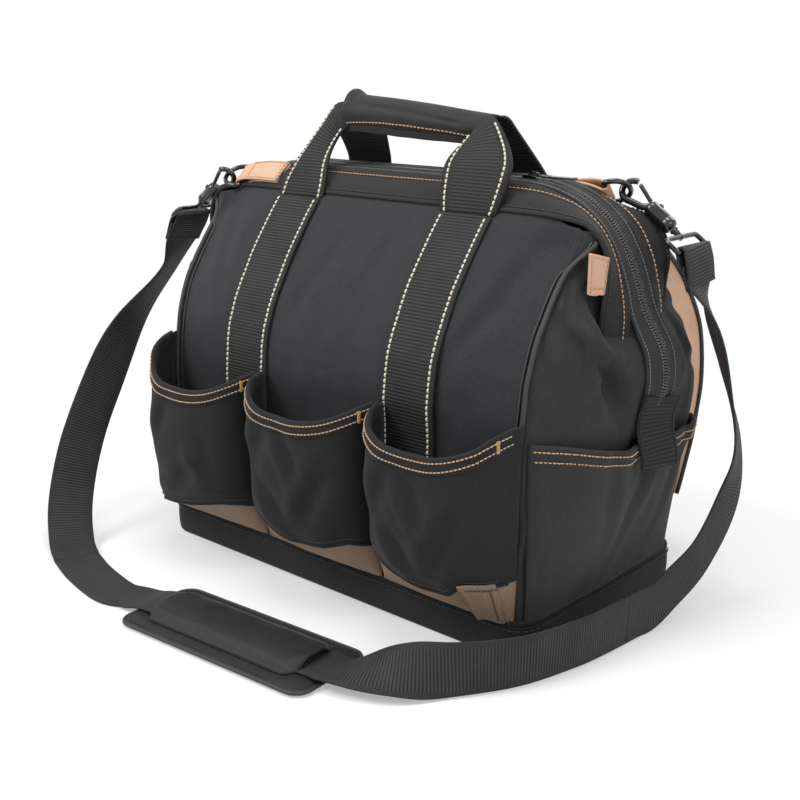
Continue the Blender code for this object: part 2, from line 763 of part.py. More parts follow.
def make_handles(looks):
    for name, way in (("front", -1), ("back", 1)):
        hinge = handle_hinge(way)
        fold_y = grip_shift + way * (fold_thickness / 2 + gap * 2)
        foot_z = hinge.z + web_thickness / 2
        outer_x = web_offset + web_width / 2
        inner_x = web_offset - web_width / 2
        top = grip_height + fold_height / 2
        low = grip_height - fold_height / 2
        grip_end = grip_half_length + run_gap * 2
        half = []
        for share in (0.0, 0.35, 0.7, 1.0):
            y = mix(hinge.y, fold_y, share)
            thick = mix(web_thickness, fold_thickness, share * share)
            out = Vector((mix(outer_x, outer_x - fold_height * 0.4, share), y,
                          mix(foot_z, top - fold_height * 0.5, share)))
            inn = Vector((mix(inner_x, grip_end, share), y, mix(foot_z, low - fold_height * 0.2, share)))
            half.append((out, inn, thick))
        half.append((Vector((grip_end + fold_height * 0.5, fold_y, top)),
                     Vector((grip_end - run_gap, fold_y, low)), fold_thickness))
        rings = []
        mirrored = [(Vector((-o.x, o.y, o.z)), Vector((-i.x, i.y, i.z)), t) for o, i, t in reversed(half)]
        for out, inn, thick in half + mirrored:
            shift = Vector((0, thick / 2, 0))
            rings.append([out - shift, inn - shift, inn + shift, out + shift])
        loft(name + "_handle", rings, looks["webbing"], hinge)
    make_grip(looks)


def make_grip(looks):
    for name, way, hinge_way in (("grip_wrap", 1, 1), ("grip_flap", -1, -1)):
        steps = 7
        outline = []
        for radius, turns in ((grip_radius, range(steps + 1)),
                              (grip_radius - grip_wall, range(steps, -1, -1))):
            for step in turns:
                turn = math.pi * step / steps - math.pi / 2
                outline.append((grip_shift + way * (gap / 2 + radius * math.cos(turn)),
                                grip_height + radius * math.sin(turn)))
        rings = [[Vector((x, y, z)) for y, z in outline] for x in (-grip_half_length, 0, grip_half_length)]
        loft(name, rings, looks["cloth"], handle_hinge(hinge_way))


def corner_frame(side, back=0.0):
    # The cover's middle, a distance back from the ring's bar round the mouth's corner: its place, the way
    # outward along it, across it, and off its face
    leg_x = front_leg_x if side < 0 else back_leg_x
    turn = (left_ring_turn if side < 0 else right_ring_turn) - back / frame_corner
    bend = max(turn, 0.0)
    low = mix(cover_in, cover_leg_in, bend / (math.pi / 2))
    radius = frame_corner + (cover_out - low) / 2
    ox = math.sin(bend)
    oz = math.cos(bend)
    start = leg_x - frame_corner + min(turn, 0.0) * frame_corner
    place = Vector((side * (start + radius * ox), side * (frame_half_gap + cover_reach / 2),
                    frame_top - frame_corner + radius * oz))
    outward = Vector((side * oz, 0, -ox))
    fall = cover_out + low
    across = Vector((-side * ox * fall, side * cover_reach, -oz * fall)).normalized()
    off = Vector((side * ox * cover_reach, side * fall, oz * cover_reach)).normalized()
    return place, outward, across, off


def ring_centre(side):
    place, outward, across, off = corner_frame(side)
    return place + off * (gap + leather + gap + ring_wire)


def chain_axes(side):
    # Along the hook, and the two directions square to it; the hook's own plane holds the first two
    along = Vector((side * math.cos(chain_slope), 0, -math.sin(chain_slope)))
    across = corner_frame(side)[2]
    rise = along.cross(across).normalized()
    normal = along.cross(rise).normalized()
    return along, rise, normal


def hook_start(side):
    return ring_centre(side) + ring_reach(side) * ring_depth


def ring_reach(side):
    place, outward, across, off = corner_frame(side)
    return outward * math.cos(ring_lift) + off * math.sin(ring_lift)


def hook_middle(side):
    # The middle of the hook's eye, when the strap pulls it against the ring
    return hook_start(side) + chain_axes(side)[0] * (hook_eye - hook_wire - ring_wire - run_gap)


def make_rings_and_hooks(looks):
    for side_name, side in (("left", -1), ("right", 1)):
        centre = ring_centre(side)
        fold = ring_wire + gap + leather / 2
        low = gap + leather / 2
        high = low + leather + gap
        steps = 8
        points = []
        wide = []
        for i in range(steps + 1):
            place, outward, across, off = corner_frame(side, ring_tab_length * (1 - i / steps))
            points.append(place + off * low)
            wide.append(across)
        for step in range(1, 6):
            turn = math.pi * step / 6
            points.append(centre + outward * fold * math.sin(turn) - off * fold * math.cos(turn))
            wide.append(across)
        for i in range(steps + 1):
            back = ring_tab_length * i / steps
            place, outward, across, off = corner_frame(side, back)
            height = mix(low + 2 * fold, high, smooth_step(back / (fold * 7)))
            points.append(place + off * height)
            wide.append(across)
        rings = ribbon_rings(points, wide, ring_tab_width, leather)
        loft(side_name + "_ring_tab", rings, looks["leather"], centre)
        make_ring(side_name, side, centre, looks["metal"])
        make_hook(side_name, side, looks)


def make_ring(side_name, side, centre, look):
    across = corner_frame(side)[2]
    reach = ring_reach(side)
    points = []
    for share in (-1.0, -0.5, 0.0, 0.5, 1.0):
        points.append(centre + across * share * (ring_half_width - ring_wire))
    for step in range(0, 11):
        turn = math.pi * step / 10
        points.append(centre + across * ring_half_width * math.cos(turn)
                      + reach * (ring_wire + (ring_depth - ring_wire) * math.sin(turn) ** 0.8))
    sides = 8
    rings = []
    plane = across.cross(reach).normalized()
    count = len(points)
    for i, point in enumerate(points):
        ahead = (points[(i + 1) % count] - points[i - 1]).normalized()
        side_way = plane.cross(ahead).normalized()
        rings.append([point + side_way * ring_wire * math.cos(2 * math.pi * j / sides)
                      + plane * ring_wire * math.sin(2 * math.pi * j / sides) for j in range(sides)])
    loft(side_name + "_d_ring", rings, look, centre, closed=True, smooth=True)


def make_hook(side_name, side, looks):
    along, rise, normal = chain_axes(side)
    start = hook_start(side)
    eye = hook_middle(side)
    line = [(barrel_start + barrel_length * 0.2, 0), (barrel_start - hook_wire, -hook_eye * 0.45)]
    for step in range(0, 9):
        turn = math.radians(-62 - 190 * step / 8)
        line.append((hook_eye * math.cos(turn), hook_eye * math.sin(turn)))
    places = [eye + along * u + rise * v for u, v in line]
    hook = tube(side_name + "_hook", smooth_line(places, 2), hook_wire, looks["metal"], start)
    base = eye + along * barrel_start
    profile = ((0.0, 0.62), (0.06, 1.0), (0.94, 1.0), (1.0, 0.8))
    rings = []
    for share, wide in profile:
        ring = []
        for j in range(12):
            turn = 2 * math.pi * j / 12
            ring.append(base + along * barrel_length * share
                        + (rise * math.cos(turn) + normal * math.sin(turn)) * barrel_radius * wide)
        rings.append(ring)
    join_with(hook, loft(side_name + "_barrel_helper", rings, looks["metal"]))
    tip = Vector((hook_eye * math.cos(math.radians(-252)), hook_eye * math.sin(math.radians(-252))))
    root = Vector((barrel_start - run_gap * 1.8, barrel_radius * 0.55))
    lead = (root - tip).normalized()
    first = tip + lead * (hook_wire + run_gap)
    latch = [eye + along * p.x + rise * p.y for p in (first, (first + root) / 2, root)]
    tube(side_name + "_hook_latch", latch, latch_radius, looks["metal"], latch[-1])
    make_buckle(side_name, side, base + along * barrel_length, looks["metal"])


def make_buckle(side_name, side, start, look):
    along, rise, normal = chain_axes(side)
    level = Vector((0, 1, 0))
    foot = start + along * run_gap
    post = [foot, foot + along * post_length * 0.5, foot + along * (post_length + buckle_wire)]
    near = foot + along * post_length
    corners = []
    half = buckle_half_width
    for u, v in ((0, 0), (0, half * 0.9), (0.08, half), (0.92, half), (1, half * 0.92), (1, 0),
                 (1, -half * 0.92), (0.92, -half), (0.08, -half), (0, -half * 0.9)):
        corners.append(near + along * buckle_length * u + level * v)
    plane = along.cross(level).normalized()
    count = len(corners)
    rings = []
    for i, point in enumerate(corners):
        ahead = (corners[(i + 1) % count] - corners[i - 1]).normalized()
        side_way = plane.cross(ahead).normalized()
        rings.append([point + (side_way * math.cos(2 * math.pi * j / 8)
                               + plane * math.sin(2 * math.pi * j / 8)) * buckle_wire for j in range(8)])
    frame = loft(side_name + "_swivel_buckle", rings, look, start, closed=True, smooth=True)
    join_with(frame, tube(side_name + "_post_helper", post, post_radius, look))


def buckle_bar(side):
    along, rise, normal = chain_axes(side)
    reach = barrel_start + barrel_length + run_gap + post_length + buckle_length
    return hook_middle(side) + along * reach


def pad_point(u, v, z):
    # A place on the pad: along it, across it, and a height
    return Vector((pad_x + u * math.cos(pad_turn) - v * math.sin(pad_turn),
                   pad_y + u * math.sin(pad_turn) + v * math.cos(pad_turn), z))


def strap_piece(name, rows, look):
    line = smooth_line([row[0] for row in rows], 3)
    across = smooth_line([row[1] for row in rows], 3)
    rings = ribbon_rings(line, across, strap_width, strap_thickness)
    loft(name, rings, look)


def route_rows(table):
    # Rows of a strap's route: places in shares of the boot's length, and the directions of its width
    return [(Vector(place) * boot_length, Vector(across)) for place, across in table]


def make_strap(looks):
    floor = strap_thickness / 2
    on_pad = pad_thickness + gap + floor + gap
    left_bar = buckle_bar(-1)
    right_bar = buckle_bar(1)
    clear = buckle_wire + gap + strap_thickness / 2
    level = Vector((0, 1, 0))
    strap_piece("left_strap", [
        (left_bar + Vector((-clear * 0.5, 0, -clear)), level),
        (left_bar + Vector((-clear * 3, -clear / 2, -clear * 8)), level)] + route_rows(left_route_shares) + [
        (route_end(left_end_shares, floor + gap), Vector((0.36, 1, 0)))], looks["webbing"])
    strap_piece("floor_strap", [
        (route_end(floor_start_shares, floor), Vector((0.36, 1, 0))),
        (route_end(floor_bend_shares, floor), Vector((0.24, 1, 0))),
        (route_end(floor_rise_shares, floor), Vector((0.05, 1, 0))),
        (pad_point(-pad_length / 2 - pad_corner, 0, mix(floor, on_pad, 0.6)), Vector((0, 1, 0))),
        (pad_point(-pad_length / 2 - pad_corner / 3, 0, on_pad), Vector((-0.05, 1, 0))),
        (pad_point(0, 0, on_pad), Vector((-0.07, 1, 0))),
        (pad_point(pad_length / 2 - pad_corner, 0, on_pad + gap), Vector((-0.07, 1, 0))),
        (pad_point(pad_length / 2 + pad_corner / 2, 0, on_pad + run_gap * 2), Vector((-0.07, 1, 0)))]
        + route_rows(edge_route_shares), looks["webbing"])
    strap_piece("right_strap", route_rows(right_route_shares) + [
        (right_bar + Vector((clear * 0.2, 0, -clear * 7)), -level),
        (right_bar + Vector((clear * 0.3, 0, -clear * 1.1)), -level)], looks["webbing"])
    make_pad(looks)


def route_end(place, z):
    return Vector((place[0] * boot_length, place[1] * boot_length, z))


def make_pad(looks):
    outline = round_rectangle(pad_length / 2, pad_width / 2, pad_corner, 0)
    inset = pad_thickness * 0.25
    small = round_rectangle(pad_length / 2 - inset, pad_width / 2 - inset, pad_corner - inset, 0)
    rings = [[pad_point(p.x, p.y, z) for p in ring]
             for ring, z in ((small, 0), (outline, pad_thickness * 0.4), (outline, pad_thickness * 0.6),
                             (small, pad_thickness))]
    loft("strap_pad", rings, looks["pad"])
    low = pad_thickness + gap
    top = low + tunnel_height + sleeve_wall
    outer = sleeve_width / 2
    inner = tunnel_width / 2
    outline = [(-outer, low), (-inner, low), (-inner, low + tunnel_height), (inner, low + tunnel_height),
               (inner, low), (outer, low), (outer - sleeve_wall, top), (-outer + sleeve_wall, top)]
    rings = [[pad_point(u, v, z) for v, z in outline] for u in (-sleeve_length / 2, 0, sleeve_length / 2)]
    loft("pad_sleeve", rings, looks["pad"])


def make_side_tab(looks):
    # A folded leather tab sewn to the front corner of the right end
    middle = frame_top - side_tab_drop
    rings = []
    for share in (-0.5, 0.0, 0.5):
        z = middle + share * side_tab_height
        row = end_line(z, 1, 0)
        near = -row[3][1] - leather
        places = [near - side_tab_width * share / 3 for share in range(4)]
        face = [Vector((wall_at(row, y) + side_tab_lift, -y, z)) for y in places]
        back = [v + Vector((leather, 0, 0)) for v in reversed(face)]
        rings.append(face + back)
    loft("side_tab", rings, looks["leather"])


def build_bag():
    clear_scene()
    looks = make_looks()
    make_boot(looks)
    make_fixed_walls(looks)
    make_upper_walls(looks)
    make_mouth(looks)
    make_zip_fittings(looks)
    make_pivots(looks)
    make_front_pockets(looks)
    make_end_pockets(looks)
    make_back_pocket(looks)
    make_wall_webbing(looks)
    make_handles(looks)
    make_rings_and_hooks(looks)
    make_strap(looks)
    make_side_tab(looks)


build_bag()
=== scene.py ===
import math

import bpy
import bmesh
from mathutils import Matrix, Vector, noise


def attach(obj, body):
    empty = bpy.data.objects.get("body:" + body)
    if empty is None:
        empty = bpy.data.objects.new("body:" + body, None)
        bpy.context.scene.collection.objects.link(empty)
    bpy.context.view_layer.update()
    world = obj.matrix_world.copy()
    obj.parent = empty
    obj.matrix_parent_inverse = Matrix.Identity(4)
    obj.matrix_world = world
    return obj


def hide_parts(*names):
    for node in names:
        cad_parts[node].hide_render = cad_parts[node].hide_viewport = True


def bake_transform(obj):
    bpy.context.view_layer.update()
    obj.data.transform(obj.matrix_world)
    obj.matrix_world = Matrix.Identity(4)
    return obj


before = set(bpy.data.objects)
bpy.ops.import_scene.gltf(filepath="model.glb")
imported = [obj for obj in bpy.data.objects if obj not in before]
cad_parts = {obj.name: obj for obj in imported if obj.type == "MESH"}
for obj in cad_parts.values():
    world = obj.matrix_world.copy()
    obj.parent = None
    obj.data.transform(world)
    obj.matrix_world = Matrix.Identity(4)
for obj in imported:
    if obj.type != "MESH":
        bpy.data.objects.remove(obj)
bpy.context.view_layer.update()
mm = 0.001
scene = bpy.context.scene
ease = 0.3 * mm  # room between pieces that touch

# the bag's own shape, the same values as in the solid model
bag = {"halfY": 101.7 * mm, "fixedTop": 172 * mm, "frontEnd": 178 * mm, "foot": 29 * mm,
       "bootTop": 32 * mm, "boot": (195 * mm, 105 * mm), "bootCorner": 17 * mm,
       "frameTop": 318 * mm, "coverY": 36 * mm, "coverZ": 306 * mm,
       "webX": 87 * mm, "webWide": 50 * mm, "webThick": 2 * mm}
# how far the walls stand from the middle as they rise, as a share of their distance at the foot
leanShares = ((0.0, 1.0), (0.12, 0.985), (0.24, 0.955), (0.36, 0.90), (0.48, 0.825), (0.60, 0.735),
              (0.72, 0.63), (0.84, 0.515), (0.93, 0.425), (1.0, 0.345))
ways = (("front", -1), ("back", 1))
sides = (("left", -1), ("right", 1))


# shaders
class Wire:
    # a node's output socket that takes part in sums
    def __init__(self, owner, socket):
        self.owner = owner
        self.socket = socket

    def sum(self, operation, a, b=0.0):
        return self.owner.node("ShaderNodeMath", {"operation": operation}, {0: a, 1: b})

    def __add__(self, other):
        return self.sum("ADD", self, other)

    def __radd__(self, other):
        return self.sum("ADD", other, self)

    def __sub__(self, other):
        return self.sum("SUBTRACT", self, other)

    def __rsub__(self, other):
        return self.sum("SUBTRACT", other, self)

    def __mul__(self, other):
        return self.sum("MULTIPLY", self, other)

    def __rmul__(self, other):
        return self.sum("MULTIPLY", other, self)

    def wave(self):
        return self.sum("SINE", self)

    def absolute(self):
        return self.sum("ABSOLUTE", self)

    def over(self, limit):
        return self.sum("GREATER_THAN", self, limit)

    def lesser(self, other):
        return self.sum("MINIMUM", self, other)

    def greater(self, other):
        return self.sum("MAXIMUM", self, other)


class Nodes:
    # a node tree that is built from sockets
    def __init__(self, tree):
        self.tree = tree

    def node(self, kind, settings=None, inputs=None, output=0):
        made = self.tree.nodes.new(kind)
        for key, value in (settings or {}).items():
            setattr(made, key, value)
        for key, value in (inputs or {}).items():
            self.feed(made.inputs[key], value)
        return Wire(self, made.outputs[output])

    def feed(self, socket, value):
        if isinstance(value, Wire):
            self.tree.links.new(value.socket, socket)
        else:
            socket.default_value = value


class Finish(Nodes):
    # one material
    def __init__(self, name, rough=0.7, metal=0.0, **fixed):
        self.material = bpy.data.materials.new(name)
        self.material.use_nodes = True
        super().__init__(self.material.node_tree)
        self.shader = self.tree.nodes["Principled BSDF"]
        self.shader.inputs["Roughness"].default_value = rough
        self.shader.inputs["Metallic"].default_value = metal
        for key, value in fixed.items():
            self.shader.inputs[key.replace("_", " ")].default_value = value

    def place(self):
        return self.node("ShaderNodeTexCoord", output=3)

    def flat(self):
        # metres along the cloth, across and lengthwise
        vector = self.node("ShaderNodeUVMap", {"uv_map": "metres"})
        return [self.node("ShaderNodeSeparateXYZ", inputs={0: vector}, output=k) for k in (0, 1)]

    def clouds(self, scale, detail=3.0):
        return self.node("ShaderNodeTexNoise", inputs={"Vector": self.place(), "Scale": scale, "Detail": detail})

    def tint(self, share, dark, light):
        mixed = self.node("ShaderNodeMix", {"data_type": "RGBA"}, {0: share, 6: (*dark, 1.0), 7: (*light, 1.0)}, 2)
        self.feed(self.shader.inputs["Base Color"], mixed)

    def rough(self, value):
        self.feed(self.shader.inputs["Roughness"], value)

    def bump(self, *layers):
        # each layer is a height in metres; they stack on one another
        normal = None
        for height in layers:
            inputs = {"Height": height, "Strength": 1.0, "Distance": 1.0}
            if normal:
                inputs["Normal"] = normal
            normal = self.node("ShaderNodeBump", None, inputs)
        self.feed(self.shader.inputs["Normal"], normal)


def ribs(way, pitch):
    # even ribs a pitch apart, from 0 to 1
    return (way * (2 * math.pi / pitch)).wave() * 0.5 + 0.5


def threads(u, v, pitch):
    # a plain weave: two sets of threads that pass over each other in turn
    turn = math.pi / pitch
    over = (u * turn).wave() * (v * turn).wave()
    warp = (u * turn).wave().absolute()
    weft = (v * turn).wave().absolute()
    return warp * (over * 0.5 + 0.5) + weft * (0.5 - over * 0.5)


def makeCloth(name, dark, light, pitch, depth, rough=0.78, dust=0.25):
    finish = Finish(name, rough, Sheen_Weight=0.05, Sheen_Roughness=0.45, Specular_IOR_Level=0.24)
    u, v = finish.flat()
    weave = threads(u, v, pitch)
    wide = finish.clouds(11.0, 4.0)
    fine = finish.clouds(420.0, 2.0)
    finish.tint((weave * 0.6 + wide * 0.9 + fine * 0.6) * 0.9 - 0.42, dark, light)
    finish.rough(rough - 0.10 + wide * dust)
    finish.bump(weave * (depth * 1.5), wide * 1.2 * mm + finish.clouds(60.0, 3.0) * 0.6 * mm)
    return finish.material


def makeTwill(name, dark, light, pitch, depth):
    # slanted ribs, as on the bands beside the zip
    finish = Finish(name, 0.74, Sheen_Weight=0.04, Sheen_Roughness=0.45, Specular_IOR_Level=0.22)
    u, v = finish.flat()
    rib = ribs(u + v * 0.6, pitch)
    cross = ribs(v - u * 0.3, pitch * 0.8)
    wide = finish.clouds(14.0, 4.0)
    finish.tint((rib * 0.5 + cross * 0.2 + wide * 0.6) * 0.75, dark, light)
    finish.bump(rib * depth + cross * (depth * 0.4), wide * 1.0 * mm)
    return finish.material


def makeWeb(name, dark, light, pitch=2.6 * mm, depth=0.22 * mm, half=25 * mm, edge=5.5 * mm):
    # ribs across the webbing, and a herringbone along each edge
    finish = Finish(name, 0.66, Sheen_Weight=0.02, Specular_IOR_Level=0.24)
    u, v = finish.flat()
    side = u.absolute()
    rib = ribs(v, pitch)
    grain = ribs(u, 1.1 * mm)
    slanted = ribs(v + side * 1.1, pitch * 0.8)
    rim = side.over(half - edge)
    height = rib * (1 - rim) + slanted * rim
    wide = finish.clouds(40.0, 3.0)
    # the tone follows the ribs and grain: their crowns lighter and grooves darker, painted highlight and shade along
    # the ribs, over the webbing's own random tone
    finish.tint(height * 0.75 + grain * 0.2 + wide * 0.4 - 0.22, dark, light)
    finish.bump((height * 0.8 + grain * 0.2) * (depth * 1.5), wide * 0.3 * mm)
    return finish.material


def makeLeather(name, dark, light):
    finish = Finish(name, 0.58, Specular_IOR_Level=0.4)
    grain = finish.node("ShaderNodeTexVoronoi", {"feature": "DISTANCE_TO_EDGE"},
                        {"Vector": finish.place(), "Scale": 900.0})
    wide = finish.clouds(28.0, 4.0)
    fine = finish.clouds(260.0, 3.0)
    finish.tint(wide * 0.7 + fine * 0.35, dark, light)
    finish.rough(0.45 + fine * 0.3)
    finish.bump(grain.lesser(0.4) * 0.15 * mm, fine * 0.12 * mm + wide * 0.4 * mm)
    return finish.material


def makeGlossMetal(name, colour, rough=0.16, metal=0.55):
    finish = Finish(name, rough, metal, Coat_Weight=0.5, Coat_Roughness=0.06, Specular_IOR_Level=0.6)
    marks = finish.clouds(160.0, 3.0)
    finish.tint(marks, colour, tuple(c * 1.8 + 0.004 for c in colour))
    finish.rough(rough + marks * 0.12)
    finish.bump(finish.clouds(500.0, 2.0) * 0.02 * mm)
    return finish.material


def makePlain(name, dark, light, rough, scale, depth, **fixed):
    finish = Finish(name, rough, **fixed)
    marks = finish.clouds(scale, 3.0)
    finish.tint(marks, dark, light)
    finish.rough(rough - 0.08 + marks * 0.16)
    finish.bump(marks * depth)
    return finish.material


def makeThread(name, dark, light, rough=0.75):
    return makePlain(name + " thread", dark, light, rough, 900.0, 0.03 * mm)


looks = {
    "front": makeCloth("front cloth", (0.008, 0.0084, 0.0096), (0.036, 0.037, 0.0405), 0.9 * mm, 0.10 * mm),
    # the pockets' cloth is the front cloth's weave at a darker tone: partly the cloth's own colour, partly painted
    # shade for pockets that stand in shadow
    "pocket": makeCloth("pocket cloth with painted shade", (0.0045, 0.0046, 0.0050), (0.018, 0.018, 0.019), 0.9 * mm, 0.10 * mm),
    "end": makeCloth("end cloth", (0.010, 0.010, 0.0105), (0.042, 0.0415, 0.041), 1.0 * mm, 0.11 * mm),
    "boot": makeCloth("boot cloth", (0.0035, 0.0035, 0.004), (0.013, 0.013, 0.0135), 1.3 * mm, 0.16 * mm, 0.70),
    "band": makeTwill("band cloth", (0.005, 0.005, 0.0055), (0.036, 0.036, 0.0375), 1.7 * mm, 0.16 * mm),
    "grip": makeCloth("grip cloth", (0.011, 0.011, 0.012), (0.034, 0.034, 0.036), 0.7 * mm, 0.06 * mm, 0.72),
    "webbing": makeWeb("sewn webbing", (0.003, 0.003, 0.0033), (0.036, 0.036, 0.0375)),
    "strap": makeWeb("strap webbing", (0.003, 0.003, 0.0033), (0.048, 0.048, 0.050), 2.4 * mm, 0.2 * mm,
                     19 * mm, 4 * mm),
    "tab": makeWeb("tab webbing", (0.004, 0.004, 0.0045), (0.026, 0.026, 0.027), 3.0 * mm, 0.3 * mm,
                   15 * mm, 1.5 * mm),
    "trim": makeCloth("brown trim", (0.125, 0.083, 0.058), (0.310, 0.218, 0.152), 1.1 * mm, 0.14 * mm, 0.8),
    "leather": makeLeather("pale leather", (0.44, 0.25, 0.155), (0.72, 0.47, 0.32)),
    "metal": makeGlossMetal("black metal", (0.008, 0.008, 0.009)),
    "steel": makePlain("zinc wire", (0.30, 0.30, 0.31), (0.48, 0.48, 0.50), 0.36, 120.0, 0.02 * mm, Metallic=1.0),
    "coil": makePlain("zip coil", (0.020, 0.020, 0.021), (0.075, 0.075, 0.078), 0.38, 300.0, 0.03 * mm),
    "tape": makeTwill("zip tape", (0.012, 0.012, 0.013), (0.042, 0.042, 0.044), 1.1 * mm, 0.08 * mm),
    "piping": makePlain("piping", (0.010, 0.010, 0.011), (0.034, 0.034, 0.036), 0.6, 500.0, 0.08 * mm),
    "cream": makeThread("cream", (0.60, 0.54, 0.43), (0.82, 0.76, 0.64)),
    "tan": makeThread("tan", (0.36, 0.235, 0.15), (0.60, 0.43, 0.29)),
    "grey": makeThread("grey", (0.10, 0.10, 0.10), (0.30, 0.30, 0.30), 0.6),
    "yellow": makeThread("ochre", (0.42, 0.27, 0.06), (0.66, 0.46, 0.14)),
    "black": makeThread("black", (0.010, 0.010, 0.011), (0.030, 0.030, 0.032), 0.6),
    "pad": makeCloth("pad cloth", (0.004, 0.004, 0.0045), (0.018, 0.018, 0.019), 0.8 * mm, 0.05 * mm, 0.48, 0.2),
    "board": makePlain("board", (0.035, 0.035, 0.036), (0.06, 0.06, 0.062), 0.6, 60.0, 0.05 * mm),
}
print("finishes made:", len(looks))


# small tools
def mix(a, b, share):
    return a + (b - a) * share


def smooth(share):
    share = min(max(share, 0.0), 1.0)
    return share * share * (3 - 2 * share)


def between(table, share):
    for (x0, y0), (x1, y1) in zip(table, table[1:]):
        if share <= x1:
            return mix(y0, y1, (share - x0) / (x1 - x0))
    return table[-1][1]


def steps(count):
    return [i / count for i in range(count + 1)]


def curve(points, pieces):
    # a smooth line through the points, evenly read between neighbours
    points = [Vector(p) for p in points]
    ends = [points[0] * 2 - points[1]] + points + [points[-1] * 2 - points[-2]]
    line = [bend(ends[i - 1:i + 3], step / pieces) for i in range(1, len(ends) - 2) for step in range(pieces)]
    return line + [points[-1]]


def bend(four, t):
    # one place on a smooth curve through four, between the middle two
    a, b, c, d = four
    return 0.5 * ((2 * b) + (c - a) * t + (2 * a - 5 * b + 4 * c - d) * t ** 2
                  + (3 * b - a - 3 * c + d) * t ** 3)


def evenly(line, pitch):
    # places a pitch apart along a line
    places = []
    left = 0.0
    for i, (a, b) in enumerate(zip(line, line[1:])):
        reach = (b - a).length
        while left <= reach and reach > 0:
            places.append((a.lerp(b, left / reach), (b - a).normalized(), i))
            left += pitch
        left -= reach
    return places


def neighbours(line, i):
    # the way from the place before to the place after
    return line[min(i + 1, len(line) - 1)] - line[max(i - 1, 0)]


def facing(way, towards):
    return way if way.dot(towards) > 0 else -way


def mirrored(place):
    return Vector((-place.x, place.y, place.z))


def ripple(place, scale, seed=0.0):
    return noise.noise(Vector(place) * scale + Vector((seed, seed * 1.7, -seed)))


def crease(dx, dz, turn, length, width, ridge, gap=1.8):
    # a soft fold seen from its middle, in mm: a valley and the ridge beside it
    a = math.radians(turn)
    along = dx * math.cos(a) + dz * math.sin(a)
    off = -dx * math.sin(a) + dz * math.cos(a)
    valley = math.exp(-(off / width) ** 2)
    return math.exp(-(along / length) ** 2) * (ridge * math.exp(-((off - width * gap) / width) ** 2) - valley)


def roundedRectangle(halfX, halfY, corner, pitch):
    # places round it, close to a pitch apart, each with the way out
    outline = []
    for quarter, (sx, sy) in enumerate(((1, 1), (-1, 1), (-1, -1), (1, -1))):
        for step in range(9):
            turn = (quarter + step / 8) * math.pi / 2
            out = Vector((math.cos(turn), math.sin(turn), 0))
            outline.append((Vector((sx * (halfX - corner), sy * (halfY - corner), 0)) + out * corner, out))
    dense = []
    for (a, outA), (b, outB) in zip(outline, outline[1:] + outline[:1]):
        pieces = max(1, int((b - a).length / pitch))
        dense += [(a.lerp(b, p / pieces), outA.lerp(outB, p / pieces).normalized()) for p in range(pieces)]
    return dense + dense[:1]


def finishPiece(name, build, look, body, replaced=()):
    # turns built geometry into a piece that rides on a body; given two bodies, it stays where it was built, with its
    # transform applied
    mesh = bpy.data.meshes.new(name)
    bmesh.ops.recalc_face_normals(build, faces=build.faces)
    build.to_mesh(mesh)
    build.free()
    piece = bpy.data.objects.new(name, mesh)
    scene.collection.objects.link(piece)
    mesh.materials.append(looks[look])
    mesh.shade_smooth()
    if isinstance(body, str):
        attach(piece, body)
    else:
        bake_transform(piece)
    if replaced:
        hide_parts(*replaced)
    return piece


def uvLayer(build):
    return build.loops.layers.uv.get("metres") or build.loops.layers.uv.new("metres")


def addFace(build, uv, verts, marks):
    made = build.faces.new(verts)
    for loop, mark in zip(made.loops, marks):
        loop[uv].uv = mark


def gridMesh(build, grid, thick=0.0, inward=None):
    # a grid of places, with metres along it in its UV map; thick gives it a back and a rim
    uv = uvLayer(build)
    rows, cols = len(grid), len(grid[0])
    across = [0.0]
    for a, b in zip(grid[rows // 2], grid[rows // 2][1:]):
        across.append(across[-1] + (b - a).length)
    across = [u - across[-1] / 2 for u in across]
    along = [0.0]
    for i in range(1, rows):
        along.append(along[-1] + (grid[i][cols // 2] - grid[i - 1][cols // 2]).length)
    front = [[build.verts.new(v) for v in row] for row in grid]
    back = []
    for i, row in enumerate(grid if thick else ()):
        backRow = []
        for j, v in enumerate(row):
            normal = neighbours(row, j).cross(neighbours([r[j] for r in grid[max(i - 1, 0):i + 2]], min(i, 1)))
            if normal.length < 1e-12:
                normal = Vector((0, 0, 1))
            backRow.append(build.verts.new(v + facing(normal.normalized(), inward(v)) * thick))
        back.append(backRow)
    for i in range(rows - 1):
        for j in range(cols - 1):
            marks = [(across[j], along[i]), (across[j + 1], along[i]), (across[j + 1], along[i + 1]),
                     (across[j], along[i + 1])]
            for face in (front, back) if back else (front,):
                addFace(build, uv, [face[i][j], face[i][j + 1], face[i + 1][j + 1], face[i + 1][j]], marks)
    if back:
        for j in range(cols - 1):
            for i in (0, rows - 1):
                marks = [(across[j], along[i]), (across[j + 1], along[i]),
                         (across[j + 1], along[i] + thick), (across[j], along[i] + thick)]
                addFace(build, uv, [front[i][j], front[i][j + 1], back[i][j + 1], back[i][j]], marks)
        for i in range(rows - 1):
            for j in (0, cols - 1):
                marks = [(across[j], along[i]), (across[j], along[i + 1]),
                         (across[j] + thick, along[i + 1]), (across[j] + thick, along[i])]
                addFace(build, uv, [front[i][j], front[i + 1][j], back[i + 1][j], back[i][j]], marks)


def gridPiece(name, grid, look, body, replaced=(), thick=0.0, inward=None):
    build = bmesh.new()
    gridMesh(build, grid, thick, inward)
    return finishPiece(name, build, look, body, replaced)


def soften(piece, share=0.7):
    # one round of softening under which the rim's edges stay crisp
    marks = piece.data.attributes.get("crease_edge") or piece.data.attributes.new("crease_edge", "FLOAT", "EDGE")
    build = bmesh.new()
    build.from_mesh(piece.data)
    for i, edge in enumerate(build.edges):
        if len(edge.link_faces) == 2 and edge.calc_face_angle(0.0) > math.radians(60):
            marks.data[i].value = share
    build.free()
    softer = piece.modifiers.new("soften", "SUBSURF")
    softer.levels = softer.render_levels = 1


